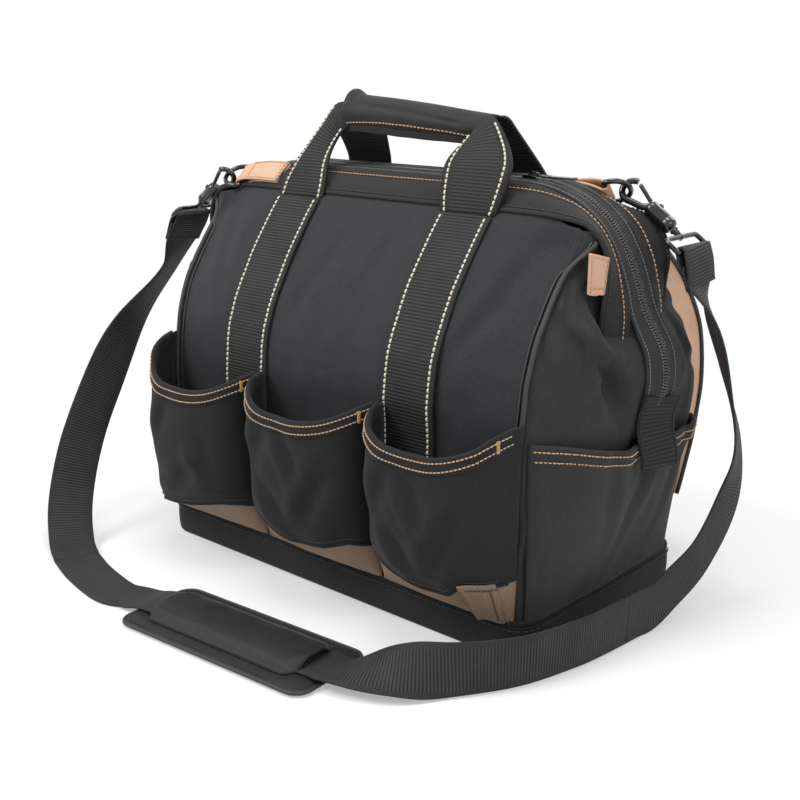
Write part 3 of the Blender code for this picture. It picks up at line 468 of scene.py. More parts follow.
def clothPiece(name, grid, look, body, replaced, thick, inward):
    # a panel of cloth; the size it was cut to is printed
    piece = gridPiece(name, grid, look, body, replaced, thick, inward)
    soften(piece)
    rows, cols = len(grid), len(grid[0])
    area = sum(((grid[i + 1][j] - grid[i][j]).cross(grid[i][j + 1] - grid[i][j])).length
               for i in range(rows - 1) for j in range(cols - 1))
    wide = max(sum((b - a).length for a, b in zip(row, row[1:])) for row in grid)
    tall = max(sum((grid[i + 1][j] - grid[i][j]).length for i in range(rows - 1)) for j in range(cols))
    round(min(area, wide * tall), 5)
    print("panel %s cut %.0f x %.0f mm" % (name, wide / mm, tall / mm))


def bandProfile(width, thick):
    # the section of a woven band: flat faces and soft edges
    w, d = width / 2, thick / 2
    r = thick * 0.45
    return [(-w, 0), (-w + r * 0.3, -d * 0.75), (-w + r, -d), (-w * 0.5, -d), (0, -d), (w * 0.5, -d), (w - r, -d),
            (w - r * 0.3, -d * 0.75), (w, 0), (w - r * 0.3, d * 0.75), (w - r, d), (w * 0.5, d), (0, d),
            (-w * 0.5, d), (-w + r, d), (-w + r * 0.3, d * 0.75)]


def bandMesh(build, line, across, width, thick):
    # a woven band along a line; across is its width's way, which may change along it
    uv = uvLayer(build)
    profile = bandProfile(width, thick)
    us = [a for a, b in profile]
    rings = []
    along = [0.0]
    for i, point in enumerate(line):
        ahead = neighbours(line, i).normalized()
        wide = across[i] if isinstance(across, list) else across
        wide = (wide - ahead * wide.dot(ahead)).normalized()
        deep = ahead.cross(wide)
        rings.append([build.verts.new(point + wide * a + deep * b) for a, b in profile])
        if i:
            along.append(along[-1] + (point - line[i - 1]).length)
    for i in range(len(line) - 1):
        for j in range(len(us)):
            k = (j + 1) % len(us)
            marks = ((us[j], along[i]), (us[k], along[i]), (us[k], along[i + 1]), (us[j], along[i + 1]))
            addFace(build, uv, [rings[i][j], rings[i][k], rings[i + 1][k], rings[i + 1][j]], marks)
    for i in (0, -1):
        addFace(build, uv, rings[i], [(u, along[i]) for u in us])


def bandPiece(name, line, across, width, thick, look, body, replaced=()):
    build = bmesh.new()
    bandMesh(build, line, across, width, thick)
    return finishPiece(name, build, look, body, replaced)


def rodMesh(build, line, radius, sides=12, closed=False):
    # a round rod along a line; radius may change along it
    uv = uvLayer(build)
    side = None
    rings = []
    for i, point in enumerate(line):
        ahead = line[(i + 1) % len(line)] - line[i - 1] if closed else neighbours(line, i)
        ahead.normalize()
        side = ahead.orthogonal() if side is None else side - ahead * side.dot(ahead)
        side.normalize()
        up = ahead.cross(side)
        size = radius[i] if isinstance(radius, list) else radius
        rings.append([build.verts.new(point + (side * math.cos(2 * math.pi * j / sides)
                                               + up * math.sin(2 * math.pi * j / sides)) * size)
                      for j in range(sides)])
    first = rings[0]
    last = rings[-1]
    if closed:
        # the last ring meets the first with the turn that brings them closest
        shift = min(range(sides), key=lambda k: (last[0].co - first[k].co).length)
        rings.append(first[shift:] + first[:shift])
    around = 0.5 * mm
    along = 0.0
    for a, b in zip(rings, rings[1:]):
        far = along + (b[0].co - a[0].co).length
        for j in range(sides):
            k = (j + 1) % sides
            marks = [(u * around, v) for u, v in ((j, along), (j + 1, along), (j + 1, far), (j, far))]
            addFace(build, uv, [a[j], a[k], b[k], b[j]], marks)
        along = far
    if not closed:
        build.faces.new(first)
        build.faces.new(last)


def rodPiece(name, line, radius, look, body, replaced=(), sides=12, closed=False):
    build = bmesh.new()
    rodMesh(build, [Vector(p) for p in line], radius, sides, closed)
    return finishPiece(name, build, look, body, replaced)


# rows of stitches: a stitch's length, the space to the next one and the thread's radius
sewing = {"heavy": (2.3 * mm, 1.9 * mm, 0.80 * mm), "hem": (1.8 * mm, 1.3 * mm, 0.50 * mm),
          "band": (2.0 * mm, 1.6 * mm, 0.48 * mm), "seam": (3.0 * mm, 1.0 * mm, 0.5 * mm),
          "boot": (4.0 * mm, 1.4 * mm, 0.42 * mm), "zip": (1.5 * mm, 1.1 * mm, 0.30 * mm),
          "tab": (2.0 * mm, 0.6 * mm, 0.35 * mm), "grip": (2.0 * mm, 1.7 * mm, 0.55 * mm),
          "fine": (1.9 * mm, 1.1 * mm, 0.42 * mm), "back": (3.2 * mm, 1.5 * mm, 0.38 * mm),
          "leather": (2.6 * mm, 1.2 * mm, 0.36 * mm), "small": (2.4 * mm, 1.1 * mm, 0.34 * mm),
          "loop": (2.6 * mm, 1.0 * mm, 0.34 * mm), "pad": (2.8 * mm, 1.2 * mm, 0.32 * mm)}


def stitchPiece(name, rows, thread, body, lift, kind):
    # rows are lines of places, or pairs of such a line and the way out of the cloth at each place
    build = bmesh.new()
    length, space, size = sewing[kind]
    for row in rows:
        line, ups = row if isinstance(row, tuple) else (row, lift)
        for place, ahead, index in evenly(line, length + space):
            # each stitch dips into the cloth at both ends
            up = ups(place) if callable(ups) else ups[index]
            up = (up - ahead * up.dot(ahead)).normalized()
            half = length / 2
            rod = [place - ahead * half - up * size, place - ahead * half * 0.75 + up * size * 0.35,
                   place + up * size * 0.6, place + ahead * half * 0.75 + up * size * 0.35,
                   place + ahead * half - up * size]
            rodMesh(build, rod, size, 6)
    return finishPiece(name, build, thread, body)


def bartackMesh(build, place, ahead, up, length, width, thread=0.3 * mm):
    # a short bar of close zigzag stitches
    up = (up - ahead * up.dot(ahead)).normalized()
    side = ahead.cross(up)
    pitch = thread * 2.1
    count = int(length / pitch)
    for i in range(count):
        middle = place + ahead * (i - count / 2) * pitch
        rod = [middle - side * width / 2 - up * thread, middle - side * width * 0.35 + up * thread,
               middle + side * width * 0.35 + up * thread, middle + side * width / 2 - up * thread]
        rodMesh(build, rod, thread, 6)


# the bag's form, read from the solid model's values
def wallDepth(z):
    rise = (z - bag["fixedTop"]) / (bag["coverZ"] - bag["fixedTop"])
    return bag["halfY"] * between(leanShares, max(rise, 0.0))


# one end in plan at several heights, from the front panel's seam to the zip: distance out, distance forward
frontPlan = (
    (29, ((181, 101), (187, 98.5), (191.7, 88), (192, 68), (192, 50), (192, 34), (192, 18), (192, 3))),
    (75, ((181, 100), (187, 98), (193, 88), (197, 68), (199, 50), (200, 34), (200, 18), (200, 3))),
    (120, ((181, 99), (188, 97), (196, 87), (203, 68), (207, 50), (208, 33), (208.5, 18), (208.5, 3))),
    (150, ((182, 98), (188, 96), (197, 86), (206, 67), (212, 49), (214, 33), (215, 18), (216, 3))),
    (172, ((183, 95.5), (189, 93), (198, 83), (208, 66), (214, 48), (215, 35), (219, 18), (226, 3))),
    (200, ((183, 91.5), (189, 89), (198, 78), (208, 62), (213, 47), (212, 36), (221, 20), (234, 3))),
    (218, ((183, 86), (189, 83), (198, 73), (208, 60), (214, 48), (213, 36), (217, 20), (228, 3))),
    (231, ((183, 80.5), (188, 78), (197, 69), (207, 59), (212, 49), (199, 37), (207, 20), (220, 3))),
    (240, ((183, 74.5), (187, 72), (194, 65), (203, 57), (206, 49), (194, 38), (202, 22), (212, 3))),
    (255, ((183, 64.5), (187, 62.5), (192, 58), (195, 51), (193, 44), (192, 35), (200, 20), (205, 3))),
    (275, ((183, 49.5), (185, 47.5), (188, 44), (192, 40), (196, 36), (198, 31), (200, 18), (199, 3))),
    (298, ((183, 37.5), (186, 37), (190, 36.5), (193, 35.5), (195, 34), (194, 28), (188, 16), (184, 3))))
backPlan = (
    (29, ((181, 101), (187, 98.5), (191.7, 88), (192, 70), (192, 50), (192, 34), (192, 18), (192, 3))),
    (75, ((181, 101), (188, 98.5), (196, 88), (201, 70), (203, 50), (203, 34), (202, 18), (200, 3))),
    (120, ((182, 101), (191, 97), (202, 85), (209, 67), (212, 50), (212, 33), (210, 18), (208.5, 3))),
    (150, ((183, 101), (196, 96), (210, 84), (217, 68), (219, 50), (218, 33), (216, 18), (216, 3))),
    (172, ((184, 99), (199, 94), (213, 82), (221, 66), (224, 48), (224, 34), (224, 18), (226, 3))),
    (200, ((184, 96), (196, 90), (210, 78), (221, 62), (227, 46), (229, 33), (232, 18), (234, 3))),
    (226, ((183, 87), (190, 83), (200, 73), (211, 60), (218, 47), (221, 34), (223, 18), (224, 3))),
    (240, ((183, 78), (188, 75), (196, 66), (205, 54), (211, 42), (213, 30), (214, 16), (214, 3))),
    (255, ((183, 68), (187, 65), (192, 58), (198, 48), (204, 38), (206, 28), (206, 16), (207, 3))),
    (275, ((182, 52), (184, 50), (188, 46), (192, 40), (196, 33), (198, 25), (199, 15), (199, 3))),
    (298, ((180, 38), (181, 37), (183, 36), (185, 33), (187, 29), (187, 24), (184, 15), (184, 3))))


def endPlace(share, z, plan):
    # a place on an end, read smoothly across its plans and up through them
    # share runs from the front panel's seam to the zip's line
    rows = []
    at = share * 7
    i = min(int(at), 6)
    for level, places in plan:
        padded = (places[0],) + places + (places[-1],)
        rows.append((level, bend([Vector(p) for p in padded[i:i + 4]], at - i)))
    height = min(max(z / mm, rows[0][0]), rows[-1][0])
    k = 0
    while k < len(rows) - 2 and height > rows[k + 1][0]:
        k += 1
    four = [rows[max(min(j, len(rows) - 1), 0)][1] for j in range(k - 1, k + 3)]
    x, y = bend(four, (height - rows[k][0]) / (rows[k + 1][0] - rows[k][0])) * mm
    return Vector((x, -y, z))


def inwardFrom(v):
    return -Vector((v.x * 0.4, v.y * 1.4, 0.02))


frontGate = ("bag", "front_gate", (0, 0, 0.173), (0, 0, 0.298))
backGate = ("bag", "back_gate", (0, 0, 0.173), (0, 0, 0.298))


def gateOf(way):
    return frontGate if way < 0 else backGate


def planOf(way):
    return frontPlan if way < 0 else backPlan


def makeBoot():
    # from under the floor, round the lower edge, up the band, over its top edge and down inside, in mm
    profile = ((-30, 0.0), (-12, 0.0), (-5, 0.0), (-2.2, 0.7), (-0.6, 2.4), (0, 5), (0.5, 10), (0.6, 16),
               (0.4, 22), (0.1, 26), (-0.3, 27.6), (-0.9, 28.2), (-0.35, 28.9), (0.1, 30), (-0.4, 31.6),
               (-1.4, 32), (-2.6, 31.6), (-3, 30), (-3, 20), (-3, 6), (-8, 3.2), (-40, 3.2))
    values = {"pitch": 9 * mm, "floor": 3.2 * mm, "wobble": 0.7 * mm, "seamOut": 0.75 * mm, "seamUp": 25.2 * mm}
    outline = roundedRectangle(*bag["boot"], bag["bootCorner"], values["pitch"])
    grid = []
    for out, up in profile:
        row = []
        for place, way in outline:
            wobble = ripple(place, 16.0, up * 0.02) * values["wobble"] if 2 < up < 28 and out > -2 else 0.0
            row.append(place + way * (out * mm + wobble) + Vector((0, 0, up * mm)))
        grid.append(row)
    build = bmesh.new()
    gridMesh(build, grid)
    bmesh.ops.remove_doubles(build, verts=build.verts, dist=0.01 * mm)
    for edgeZ in (0.0, values["floor"]):
        rim = [e for e in build.edges if e.is_boundary and abs(e.verts[0].co.z - edgeZ) < 0.5 * mm]
        bmesh.ops.holes_fill(build, edges=rim, sides=0)
    finishPiece("bootShell", build, "boot", "bag", ("base_boot",))
    # stitches along the band's top edge
    row = [place + way * values["seamOut"] + Vector((0, 0, values["seamUp"])) for place, way in outline]
    stitchPiece("bootStitches", [row], "black", "bag", lambda v: Vector((v.x * 0.2, v.y, 0)), "boot")
    print("boot made")


cornerDepths = ((29, 101), (75, 100), (120, 99), (150, 98), (172, 95.5), (201, 91.5), (226, 83), (240, 74.5),
                (255, 64.5), (275, 49.5), (286, 40), (305, 36))


# creases on the front and back panels in mm: the middle of each, its angle, length, width and depth
panelCreases = ((150, 262, 62, 42, 7, 2.6), (136, 232, 50, 36, 6, 1.8), (24, 262, 74, 36, 6, 1.6),
                (-30, 248, 64, 40, 7, 1.8), (-146, 262, 112, 40, 7, 2.0))
panel = {"half": 181.5 * mm, "top": 306.2 * mm, "cornerFall": 6.7 * mm, "seamFall": 7 * mm, "tuck": 301 * mm,
         "pillow": 0.9 * mm, "hollow": 1.5 * mm}


def frontWallPlace(x, z, way):
    # one point of the front or back panel
    y = max(wallDepth(z), bag["coverY"] + 1.2 * mm)
    edge = smooth((abs(x) - 128 * mm) / (52 * mm))
    if way < 0:
        y = mix(y, between(cornerDepths, z / mm) * mm, edge)
    high = smooth((z - 0.20) / 0.09)
    middle = max(0.0, math.cos(min(abs(x) / (62 * mm), 1.0) * math.pi / 2))
    # it hangs a little between the straps, and shows long soft folds
    sag = (ripple((x, 0, z * 0.6), 14.0, 2.0 + way) * 2.4 + ripple((x * 1.4, 0, z), 38.0, 5.0 + way) * 1.1) * mm
    sag += panel["pillow"] * (1 - edge) - panel["hollow"] * middle * high
    # a long crease leans from under each strap's top towards the corner
    for cx, cz, turn, length, width, deep in panelCreases:
        sag += deep * mm * crease(x / mm - cx, z / mm - cz, turn, length, width, 0.7)
    held = min(1.0, max(0.306 - z, 0) / 0.03) * min(1.0, max(z - 0.035, 0) / 0.02)
    y += sag * held * smooth((182 * mm - abs(x)) / (16 * mm))
    # its top edge is tucked under the band
    return Vector((x, way * (y - 0.62 * max(z - panel["tuck"], 0)), z))


def seamShare(z):
    # near the top the panel's seam swings round the end's corner
    return 0.57 * smooth((z / mm - 268) / 25)


def seamPlace(z, way, share=1.0, out=1.2):
    # a place between the panel's straight edge and its seam
    plan = planOf(way)
    at = seamShare(z) * share
    low = min(z, 0.297)
    place = endPlace(at, low, plan)
    ahead = endPlace(at + 0.03, low, plan) - endPlace(max(at - 0.03, 0), low, plan)
    place += facing(Vector((-ahead.y, ahead.x, 0)).normalized(), Vector((1, 0, 0))) * out * mm
    return Vector((place.x, -way * place.y, z))


def makeWalls():
    cornerTop = panel["top"] - panel["cornerFall"]
    for name, way in ways:
        grid = []
        for share in steps(56):
            row = []
            for s in steps(72):
                x = mix(-1, 1, s) * panel["half"]
                top = panel["top"] - panel["cornerFall"] * smooth((abs(x) - 150 * mm) / (32 * mm))
                row.append(frontWallPlace(x, mix(bag["foot"], top, share), way))
            wrap = [seamPlace(mix(bag["foot"], cornerTop - panel["seamFall"] * s, share), way, s) for s in steps(5)]
            grid.append([mirrored(p) for p in reversed(wrap)] + row + wrap)
        clothPiece(name + "Panel", grid, "front", gateOf(way), (name + "_wall", "upper_" + name + "_wall"),
                   2.2 * mm, inwardFrom)
    print("walls made")


# soft creases on the ends: way, share across, height, angle, half length, half width and depth in mm
endCreases = ((-1, 0.42, 222, -38, 34, 5, 6.0), (-1, 0.62, 208, -62, 30, 6, 5.0), (-1, 0.30, 238, -75, 30, 5, 3.0),
              (-1, 0.72, 190, -80, 26, 6, 6.0), (-1, 0.52, 186, 35, 22, 6, 2.6), (-1, 0.22, 205, -60, 30, 6, 2.4),
              (1, 0.40, 232, 30, 26, 5, 3.4), (1, 0.66, 214, 60, 26, 5, 3.0), (1, 0.45, 196, 16, 22, 5, 2.6),
              (1, 0.24, 208, 48, 26, 6, 2.6))


def foldDepth(share, z, way, side):
    depth = 0.0
    for fold, cx, cz, turn, length, width, deep in endCreases:
        if fold == way:
            depth += deep * crease((share - cx) * 100, z / mm - cz, turn, length, width, 0.6)
    small = ripple((share * 0.2, side * 0.3, z), 26.0, 3.0 * way) * 2.4 + ripple((share * 0.2, side, z), 60.0, way)
    return (depth * 0.85 + small * smooth((z - 0.04) / 0.03)) * mm


def makeEnds():
    values = {"top": 298 * mm, "pinnedFrom": 284 * mm, "thick": 2.0 * mm}
    for sideName, side in sides:
        for wayName, way in ways:
            plan = planOf(way)
            grid = []
            for zShare in steps(64):
                z = mix(bag["foot"], values["top"], zShare)
                row = []
                for share in steps(40):
                    p = endPlace(share, z, plan)
                    d = endPlace(min(share + 0.02, 1), z, plan) - endPlace(max(share - 0.02, 0), z, plan)
                    out = facing(Vector((-d.y, d.x, 0)).normalized(), Vector((1, 0, 0)))
                    pinned = smooth(share / 0.12) * smooth((1 - share) / 0.12)
                    pinned *= smooth((values["pinnedFrom"] - z) / 0.03)
                    p = p + out * foldDepth(share, z, way, side) * pinned
                    row.append(Vector((side * p.x, -way * p.y, p.z)))
                grid.append(row)
            replaced = [sideName + "_" + wayName + "_gusset"]
            if way < 0:
                replaced.append(sideName + "_end_wall")
            clothPiece(sideName + wayName.capitalize() + "End", grid, "end", gateOf(way), replaced,
                       values["thick"], inwardFrom)
    print("ends made")


def makePiping():
    # corded seams, with a raised welt beside them, where the front and back panels meet the ends
    values = {"top": 291 * mm, "cord": 1.9 * mm, "welt": 0.9 * mm, "beside": 4.6 * mm}
    for sideName, side in sides:
        for wayName, way in ways:
            cord = []
            welt = []
            for share in steps(64):
                z = mix(bag["foot"], values["top"], share)
                place = seamPlace(z, way, 1.0, 1.9)
                cord.append(Vector((side * place.x, place.y, z)))
                near = seamPlace(z, way, 0.0, 1.0) if seamShare(z) < 0.02 else seamPlace(z, way, 0.8, 2.0)
                inset = values["beside"] * (1 - smooth(seamShare(z) * 20))
                welt.append(Vector((side * (near.x - inset), near.y, z)))
            build = bmesh.new()
            rodMesh(build, cord, values["cord"], 10)
            rodMesh(build, welt, values["welt"], 8)
            finishPiece(sideName + wayName.capitalize() + "Piping", build, "piping", gateOf(way))
    print("piping made")


def makeWebbing():
    # the four sewn runs, from under the pockets to the bands, with two stitched lines each
    values = {"foot": 60 * mm, "top": 301 * mm, "rows": 60, "lines": 20.5 * mm, "lift": 1.15 * mm}
    for wayName, way in ways:
        for sideName, side in sides:
            line = []
            for share in steps(values["rows"]):
                z = mix(values["foot"], values["top"], share)
                p = frontWallPlace(side * bag["webX"], z, way)
                y = max(abs(p.y), max(wallDepth(z), bag["coverY"] + 1.2 * mm)) + 2.0 * mm
                line.append(Vector((side * bag["webX"], way * y, z)))
            name = wayName + sideName.capitalize() + "Webbing"
            bandPiece(name, line, Vector((1, 0, 0)), bag["webWide"], bag["webThick"], "webbing", gateOf(way),
                      (wayName + "_" + sideName + "_webbing",))
            rows = [[p + Vector((reach, way * values["lift"], 0)) for p in line[2:]]
                    for reach in (-values["lines"], values["lines"])]
            stitchPiece(name + "Stitches", rows, "cream", gateOf(way), lambda v, w=way: Vector((0, w, 0.3)),
                        "heavy")
    print("webbing made")


# the mouth: bands over the wires, and the zip
# a band's edges from its foot, over the corner, to its middle: distance out and height in mm, beside the zip
# and then at its lower edge
bandInner = ((214, 214), (213, 228), (212, 241), (207, 258), (198.6, 279), (185, 298.4), (165.5, 312.6), (142, 321),
             (118, 324.2), (80, 325), (40, 325), (0, 325))
bandOuter = ((197, 214), (201.5, 229), (203.5, 243), (205.5, 258), (207, 273), (202.5, 290), (189, 301.5), (166, 305),
             (141, 306), (80, 306), (40, 306), (0, 306))
# its section: the share across from the zip's side, and the lift off the line between its edges in mm
bandShape = ((-0.02, -1.6), (0.0, 0.3), (0.05, 1.2), (0.14, 1.7), (0.24, 1.3), (0.30, 1.1), (0.36, 1.5), (0.5, 2.3),
             (0.66, 2.2), (0.80, 1.3), (0.87, 0.5), (0.92, 0.9), (0.98, 0.9), (1.02, 0.0), (1.02, -1.4),
             (0.96, -2.4), (0.75, -1.6), (0.5, -1.2), (0.2, -1.8), (0.0, -2.6))
def bandRows(way):
    # both edges along the whole mouth, from the left foot to the right one
    def wide(x):
        # the back band goes round a wider corner
        return x + 5 * smooth((x - 100) / 70) * (way > 0)

    inner = curve([(wide(x) * mm, way * 13.8 * mm, z * mm) for x, z in bandInner], 6)
    outer = curve([(wide(x) * mm, way * 36.4 * mm, z * mm) for x, z in bandOuter], 6)
    rows = list(zip(inner, outer))
    return [(mirrored(a), mirrored(b)) for a, b in rows] + rows[-2::-1]


def bandPlace(rows, i, share, lift):
    # a place on a band: across from the zip's side, and lifted off it; also the way out of its face
    a, b = rows[i]
    ahead = rows[min(i + 1, len(rows) - 1)][0] - rows[max(i - 1, 0)][0]
    out = facing(ahead.cross(b - a).normalized(), a - Vector((0, 0, 0.2)))
    return a.lerp(b, share) + out * lift * mm, out


def makeBands():
    for name, way in ways:
        rows = bandRows(way)
        grid = []
        for i, edges in enumerate(rows):
            a = edges[0]
            row = []
            for share, lift in bandShape:
                swell = ripple((a.x, a.z, way * 3.0), 22.0, way) * 1.3 + ripple((a.x, a.z, way), 60.0) * 0.6
                flat = 1 - 0.55 * smooth((abs(a.x) / mm - 130) / 30)  # it lies flatter under the rings
                lift = lift * (flat if lift > 1 else 1)
                row.append(bandPlace(rows, i, share, lift + flat * swell * max(0.0, 1 - abs(2 * share - 1)))[0])
            grid.append(row + row[:1])
        build = bmesh.new()
        gridMesh(build, grid)
        bmesh.ops.remove_doubles(build, verts=build.verts, dist=0.02 * mm)
        bmesh.ops.holes_fill(build, edges=[e for e in build.edges if e.is_boundary], sides=0)
        gate = name + "_gate"
        piece = finishPiece(name + "Band", build, "band", gate, (name + "_cover",))
        # tan stitches beside the zip, and a black corded seam low on the band
        for ending, share, lift, thread, kind in (("BandStitches", 0.27, 1.55, "tan", "band"),
                                                  ("BandSeam", 0.88, 1.0, "black", "seam")):
            line = [bandPlace(rows, i, share, lift) for i in range(len(rows))]
            stitchPiece(name + ending, [tuple(zip(*line))], thread, gate, None, kind)
    print("bands made")


# the zip's line over the corner and along the top: distance from the middle, and height, in mm
zipShape = ((231, 178), (234.5, 190), (234.5, 203), (231, 217), (223.5, 229), (215, 243), (208.5, 261),
            (199.5, 281), (186, 300), (166, 314.5), (142, 322.6), (118, 325.1), (90, 325.1), (45, 325.1), (0, 325.1))
# half of the tape: the distance from the middle and the height of each fold in mm
tapeShape = ((0.5, -0.3), (1.2, 0.1), (3.0, 0.2), (4.4, 0.0), (5.2, 0.7), (6.6, 1.2), (8.0, 0.7), (9.5, 0.1),
             (12.4, 0.2), (14.6, 0.0))


def zipLine():
    line = curve([(x * mm, 0, z * mm) for x, z in zipShape], 6)
    return line + [mirrored(p) for p in reversed(line[:-1])]


# how steeply the front half's tape falls away from the coil, by height
tapeSlopes = ((172, 0.5), (200, 0.66), (226, 0.5), (255, 0.16), (285, 0.04), (330, 0.03))


def makeZip():
    values = {"thick": 1.1 * mm, "pitch": 2.1 * mm, "tooth": 2.9 * mm, "size": 0.78 * mm, "seam": 3.9 * mm}
    line = zipLine()
    outs = []
    for i, place in enumerate(line):
        ahead = neighbours(line, i).normalized()
        outs.append(facing(Vector((-ahead.z, 0, ahead.x)), place - Vector((0, 0, 0.2))))
    for name, way in ways:
        gate = name + "_gate"
        side = Vector((0, way, 0))
        grid = []
        for place, out in zip(line, outs):
            row = []
            slope = between(tapeSlopes, place.z / mm) * (1.0 if way < 0 else 0.25)
            for across, up in tapeShape:
                fall = slope * max(across - 4, 0) - 0.65 * max(across - 10.5, 0) * (way > 0)
                row.append(place + side * across * mm + out * (up - fall) * mm)
            grid.append(row)
        gridPiece(name + "ZipTape", grid, "tape", gate, (name + "_zip",), values["thick"],
                  lambda v: Vector((-v.x, 0, 0.15 - v.z)))
        build = bmesh.new()
        size = values["size"]
        for place, ahead, i in evenly(line, values["pitch"]):
            place = place + ahead * (values["pitch"] / 2 if way > 0 else 0)
            out = outs[i]
            rod = [place - side * 0.3 * mm + out * 0.5 * mm, place + side * 0.5 * mm + out * 1.0 * mm,
                   place + side * values["tooth"] + out * 0.9 * mm, place + side * (values["tooth"] + 0.6 * mm)]
            rodMesh(build, rod, [size * 1.1, size, size, size * 0.6], 6)
        finishPiece(name + "ZipTeeth", build, "coil", gate)
        rows = [([row[-2] + out * 0.1 * mm for row, out in zip(grid, outs)], outs),
                ([place + side * values["seam"] + out * 0.35 * mm for place, out in zip(line, outs)], outs)]
        stitchPiece(name + "ZipSeam", rows, "grey", gate, None, "zip")
    print("zip made")


def roundedBlock(build, low, high, bevel, segments=3):
    # a block between two corners, in mm
    made = bmesh.ops.create_cube(build, size=1.0)["verts"]
    for v in made:
        v.co = Vector(mix(low[i], high[i], v.co[i] + 0.5) * mm for i in range(3))
    edges = list(dict.fromkeys(e for v in made for e in v.link_edges))
    bmesh.ops.bevel(build, geom=edges, offset=bevel * mm, segments=segments, profile=0.6, affect="EDGES")


# the zip's slider in mm: where it stands, its plate (half length, half width, foot, top), its cheeks (half length,
# distance out, half thickness, foot, top) and the line of its bridge
slider = {"at": (117.45, 325.4), "plate": (6.5, 5.5, 0.2, 1.8), "cheeks": (6.3, 4.9, 0.6, 0.1, 3.0),
          "bridge": ((-4.8, 1.6), (-3.4, 4.3), (0, 4.7), (4.0, 4.3), (5.6, 1.8)), "bridgeThick": 0.85}
# the puller in mm: where it starts, its loop in plan, and its tongue (start, end, half width, half thickness)
puller = {"at": (124.9, 327.9), "loop": ((1.0, -2.0), (1.0, 2.0), (7, 2.6), (8, 0), (7, -2.6), (1.0, -2.0)),
          "loopThick": 0.7, "tongue": (7.4, 29, 3, 0.8)}


def makeSlider():
    x, z = slider["at"]
    build = bmesh.new()
    long, wide, low, high = slider["plate"]
    roundedBlock(build, (x - long, -wide, z + low), (x + long, wide, z + high), 0.7)
    bridge = [((x + a) * mm, 0, (z + b) * mm) for a, b in slider["bridge"]]
    rodMesh(build, curve(bridge, 5), slider["bridgeThick"] * mm, 10)
    long, out, half, low, high = slider["cheeks"]
    for side in (-1, 1):
        roundedBlock(build, (x - long, side * out - half, z + low), (x + long, side * out + half, z + high), 0.4, 2)
    finishPiece("sliderBody", build, "metal", "slider", ("zip_slider",))
    x, z = puller["at"]
    build = bmesh.new()
    loop = [((x + a) * mm, b * mm, z * mm) for a, b in puller["loop"]]
    rodMesh(build, curve(loop, 4)[:-1], puller["loopThick"] * mm, 8, closed=True)
    start, end, wide, thick = puller["tongue"]
    roundedBlock(build, (x + start, -wide, z - thick), (x + end, wide, z + thick), 0.6)
    finishPiece("pullerTongue", build, "metal", "puller", ("zip_puller",))
    print("slider made")


def makeZipTabs():
    # the ribbed tab that ends the zip hangs over the end pocket's hem
    shape = ((234, 183), (231, 175), (229, 166), (229.5, 156), (232, 147), (234, 139), (234.5, 131))
    values = {"wide": 33 * mm, "thick": 2.2 * mm, "seam": 14.5 * mm}
    seam = values["seam"]
    for sideName, side in sides:
        line = curve([(side * x * mm, 0, z * mm) for x, z in shape], 4)
        wide = Vector((side * 0.36, 0.93, 0))
        bandPiece(sideName + "ZipTab", line, wide, values["wide"], values["thick"], "tab", "bag",
                  (sideName + "_zip_tab",))
        face = Vector((side * 1.2, -0.4, 0)) * mm
        rows = [[p + face + wide * w for p in line[1:]] for w in (-seam, seam)]
        rows += [[line[k] + face + wide * mix(-seam, seam, s) for s in steps(6)] for k in (3, -2)]
        stitchPiece(sideName + "ZipTabStitches", rows, "black", "bag", lambda v: Vector((side, 0, 0.3)),
                    "tab")
    print("zip tabs made")


# handles and grip
# each riser's two edges in mm, from the band up into the grip: (outward, forward, height)
risers = {
    ("front", 1): (((112, -39.6, 300.5), (116, -37, 313), (118.5, -32, 328), (117, -26, 339), (107, -17, 351),
                    (88, -7.5, 368), (74, -3, 368)),
                   ((62, -39.6, 300.5), (59.5, -37, 313), (57, -31, 328), (57, -26.5, 337), (60, -20, 345),
                    (66, -12, 354), (66, -6, 358))),
    ("front", -1): (((112, -39.6, 300.5), (108, -37, 313), (101, -32, 327), (94, -26, 340), (86, -15, 358),
                     (77, -7, 374), (62, -4, 377)),
                    ((62, -39.6, 300.5), (61, -37, 313), (64, -31, 327), (67, -23, 337), (67, -15, 347),
                     (62, -10, 356), (52, -7, 361))),
    ("back", 1): (((112, 39.6, 300.5), (111, 38, 312), (104, 34, 328), (98, 25, 343), (93, 14, 358), (88, 6, 369),
                   (74, 4, 368)),
                  ((62, 39.6, 300.5), (62, 37, 312), (65, 30, 326), (66, 22, 338), (66, 14, 347), (66, 8, 354),
                   (64, 5, 358))),
    ("back", -1): (((112, 39.6, 300.5), (106, 37, 310), (97, 30, 322), (91, 23, 332), (88, 15, 342), (86, 8, 352),
                    (74, 5, 362)),
                   ((62, 39.6, 300.5), (57, 37, 310), (49, 30, 322), (43, 23, 332), (38, 15, 342), (35, 9, 353),
                    (32, 6, 358)))}
# the grip in mm: where it ends on top and underneath, and its height and radius at the left and at the right
grip = {"left": (-66, -62), "right": (82, 64), "height": (368.4, 359.6), "radius": (13.9, 10.2), "middleY": 1.5}
def riserGrid(name, side):
    outer, inner = (curve([(side * x * mm, y * mm, z * mm) for x, y, z in edge], 5) for edge in risers[(name, side)])
    grid = []
    for a, b in zip(outer, inner):
        row = []
        for s in steps(14):
            cup = (1 - (2 * s - 1) ** 2) * mix(0.4, 2.6, smooth((a.z / mm - 306) / 50)) * mm
            row.append(b.lerp(a, s) + Vector((0, cup if a.y > 0 else -cup, cup * 0.3)))
        grid.append(row)
    return grid


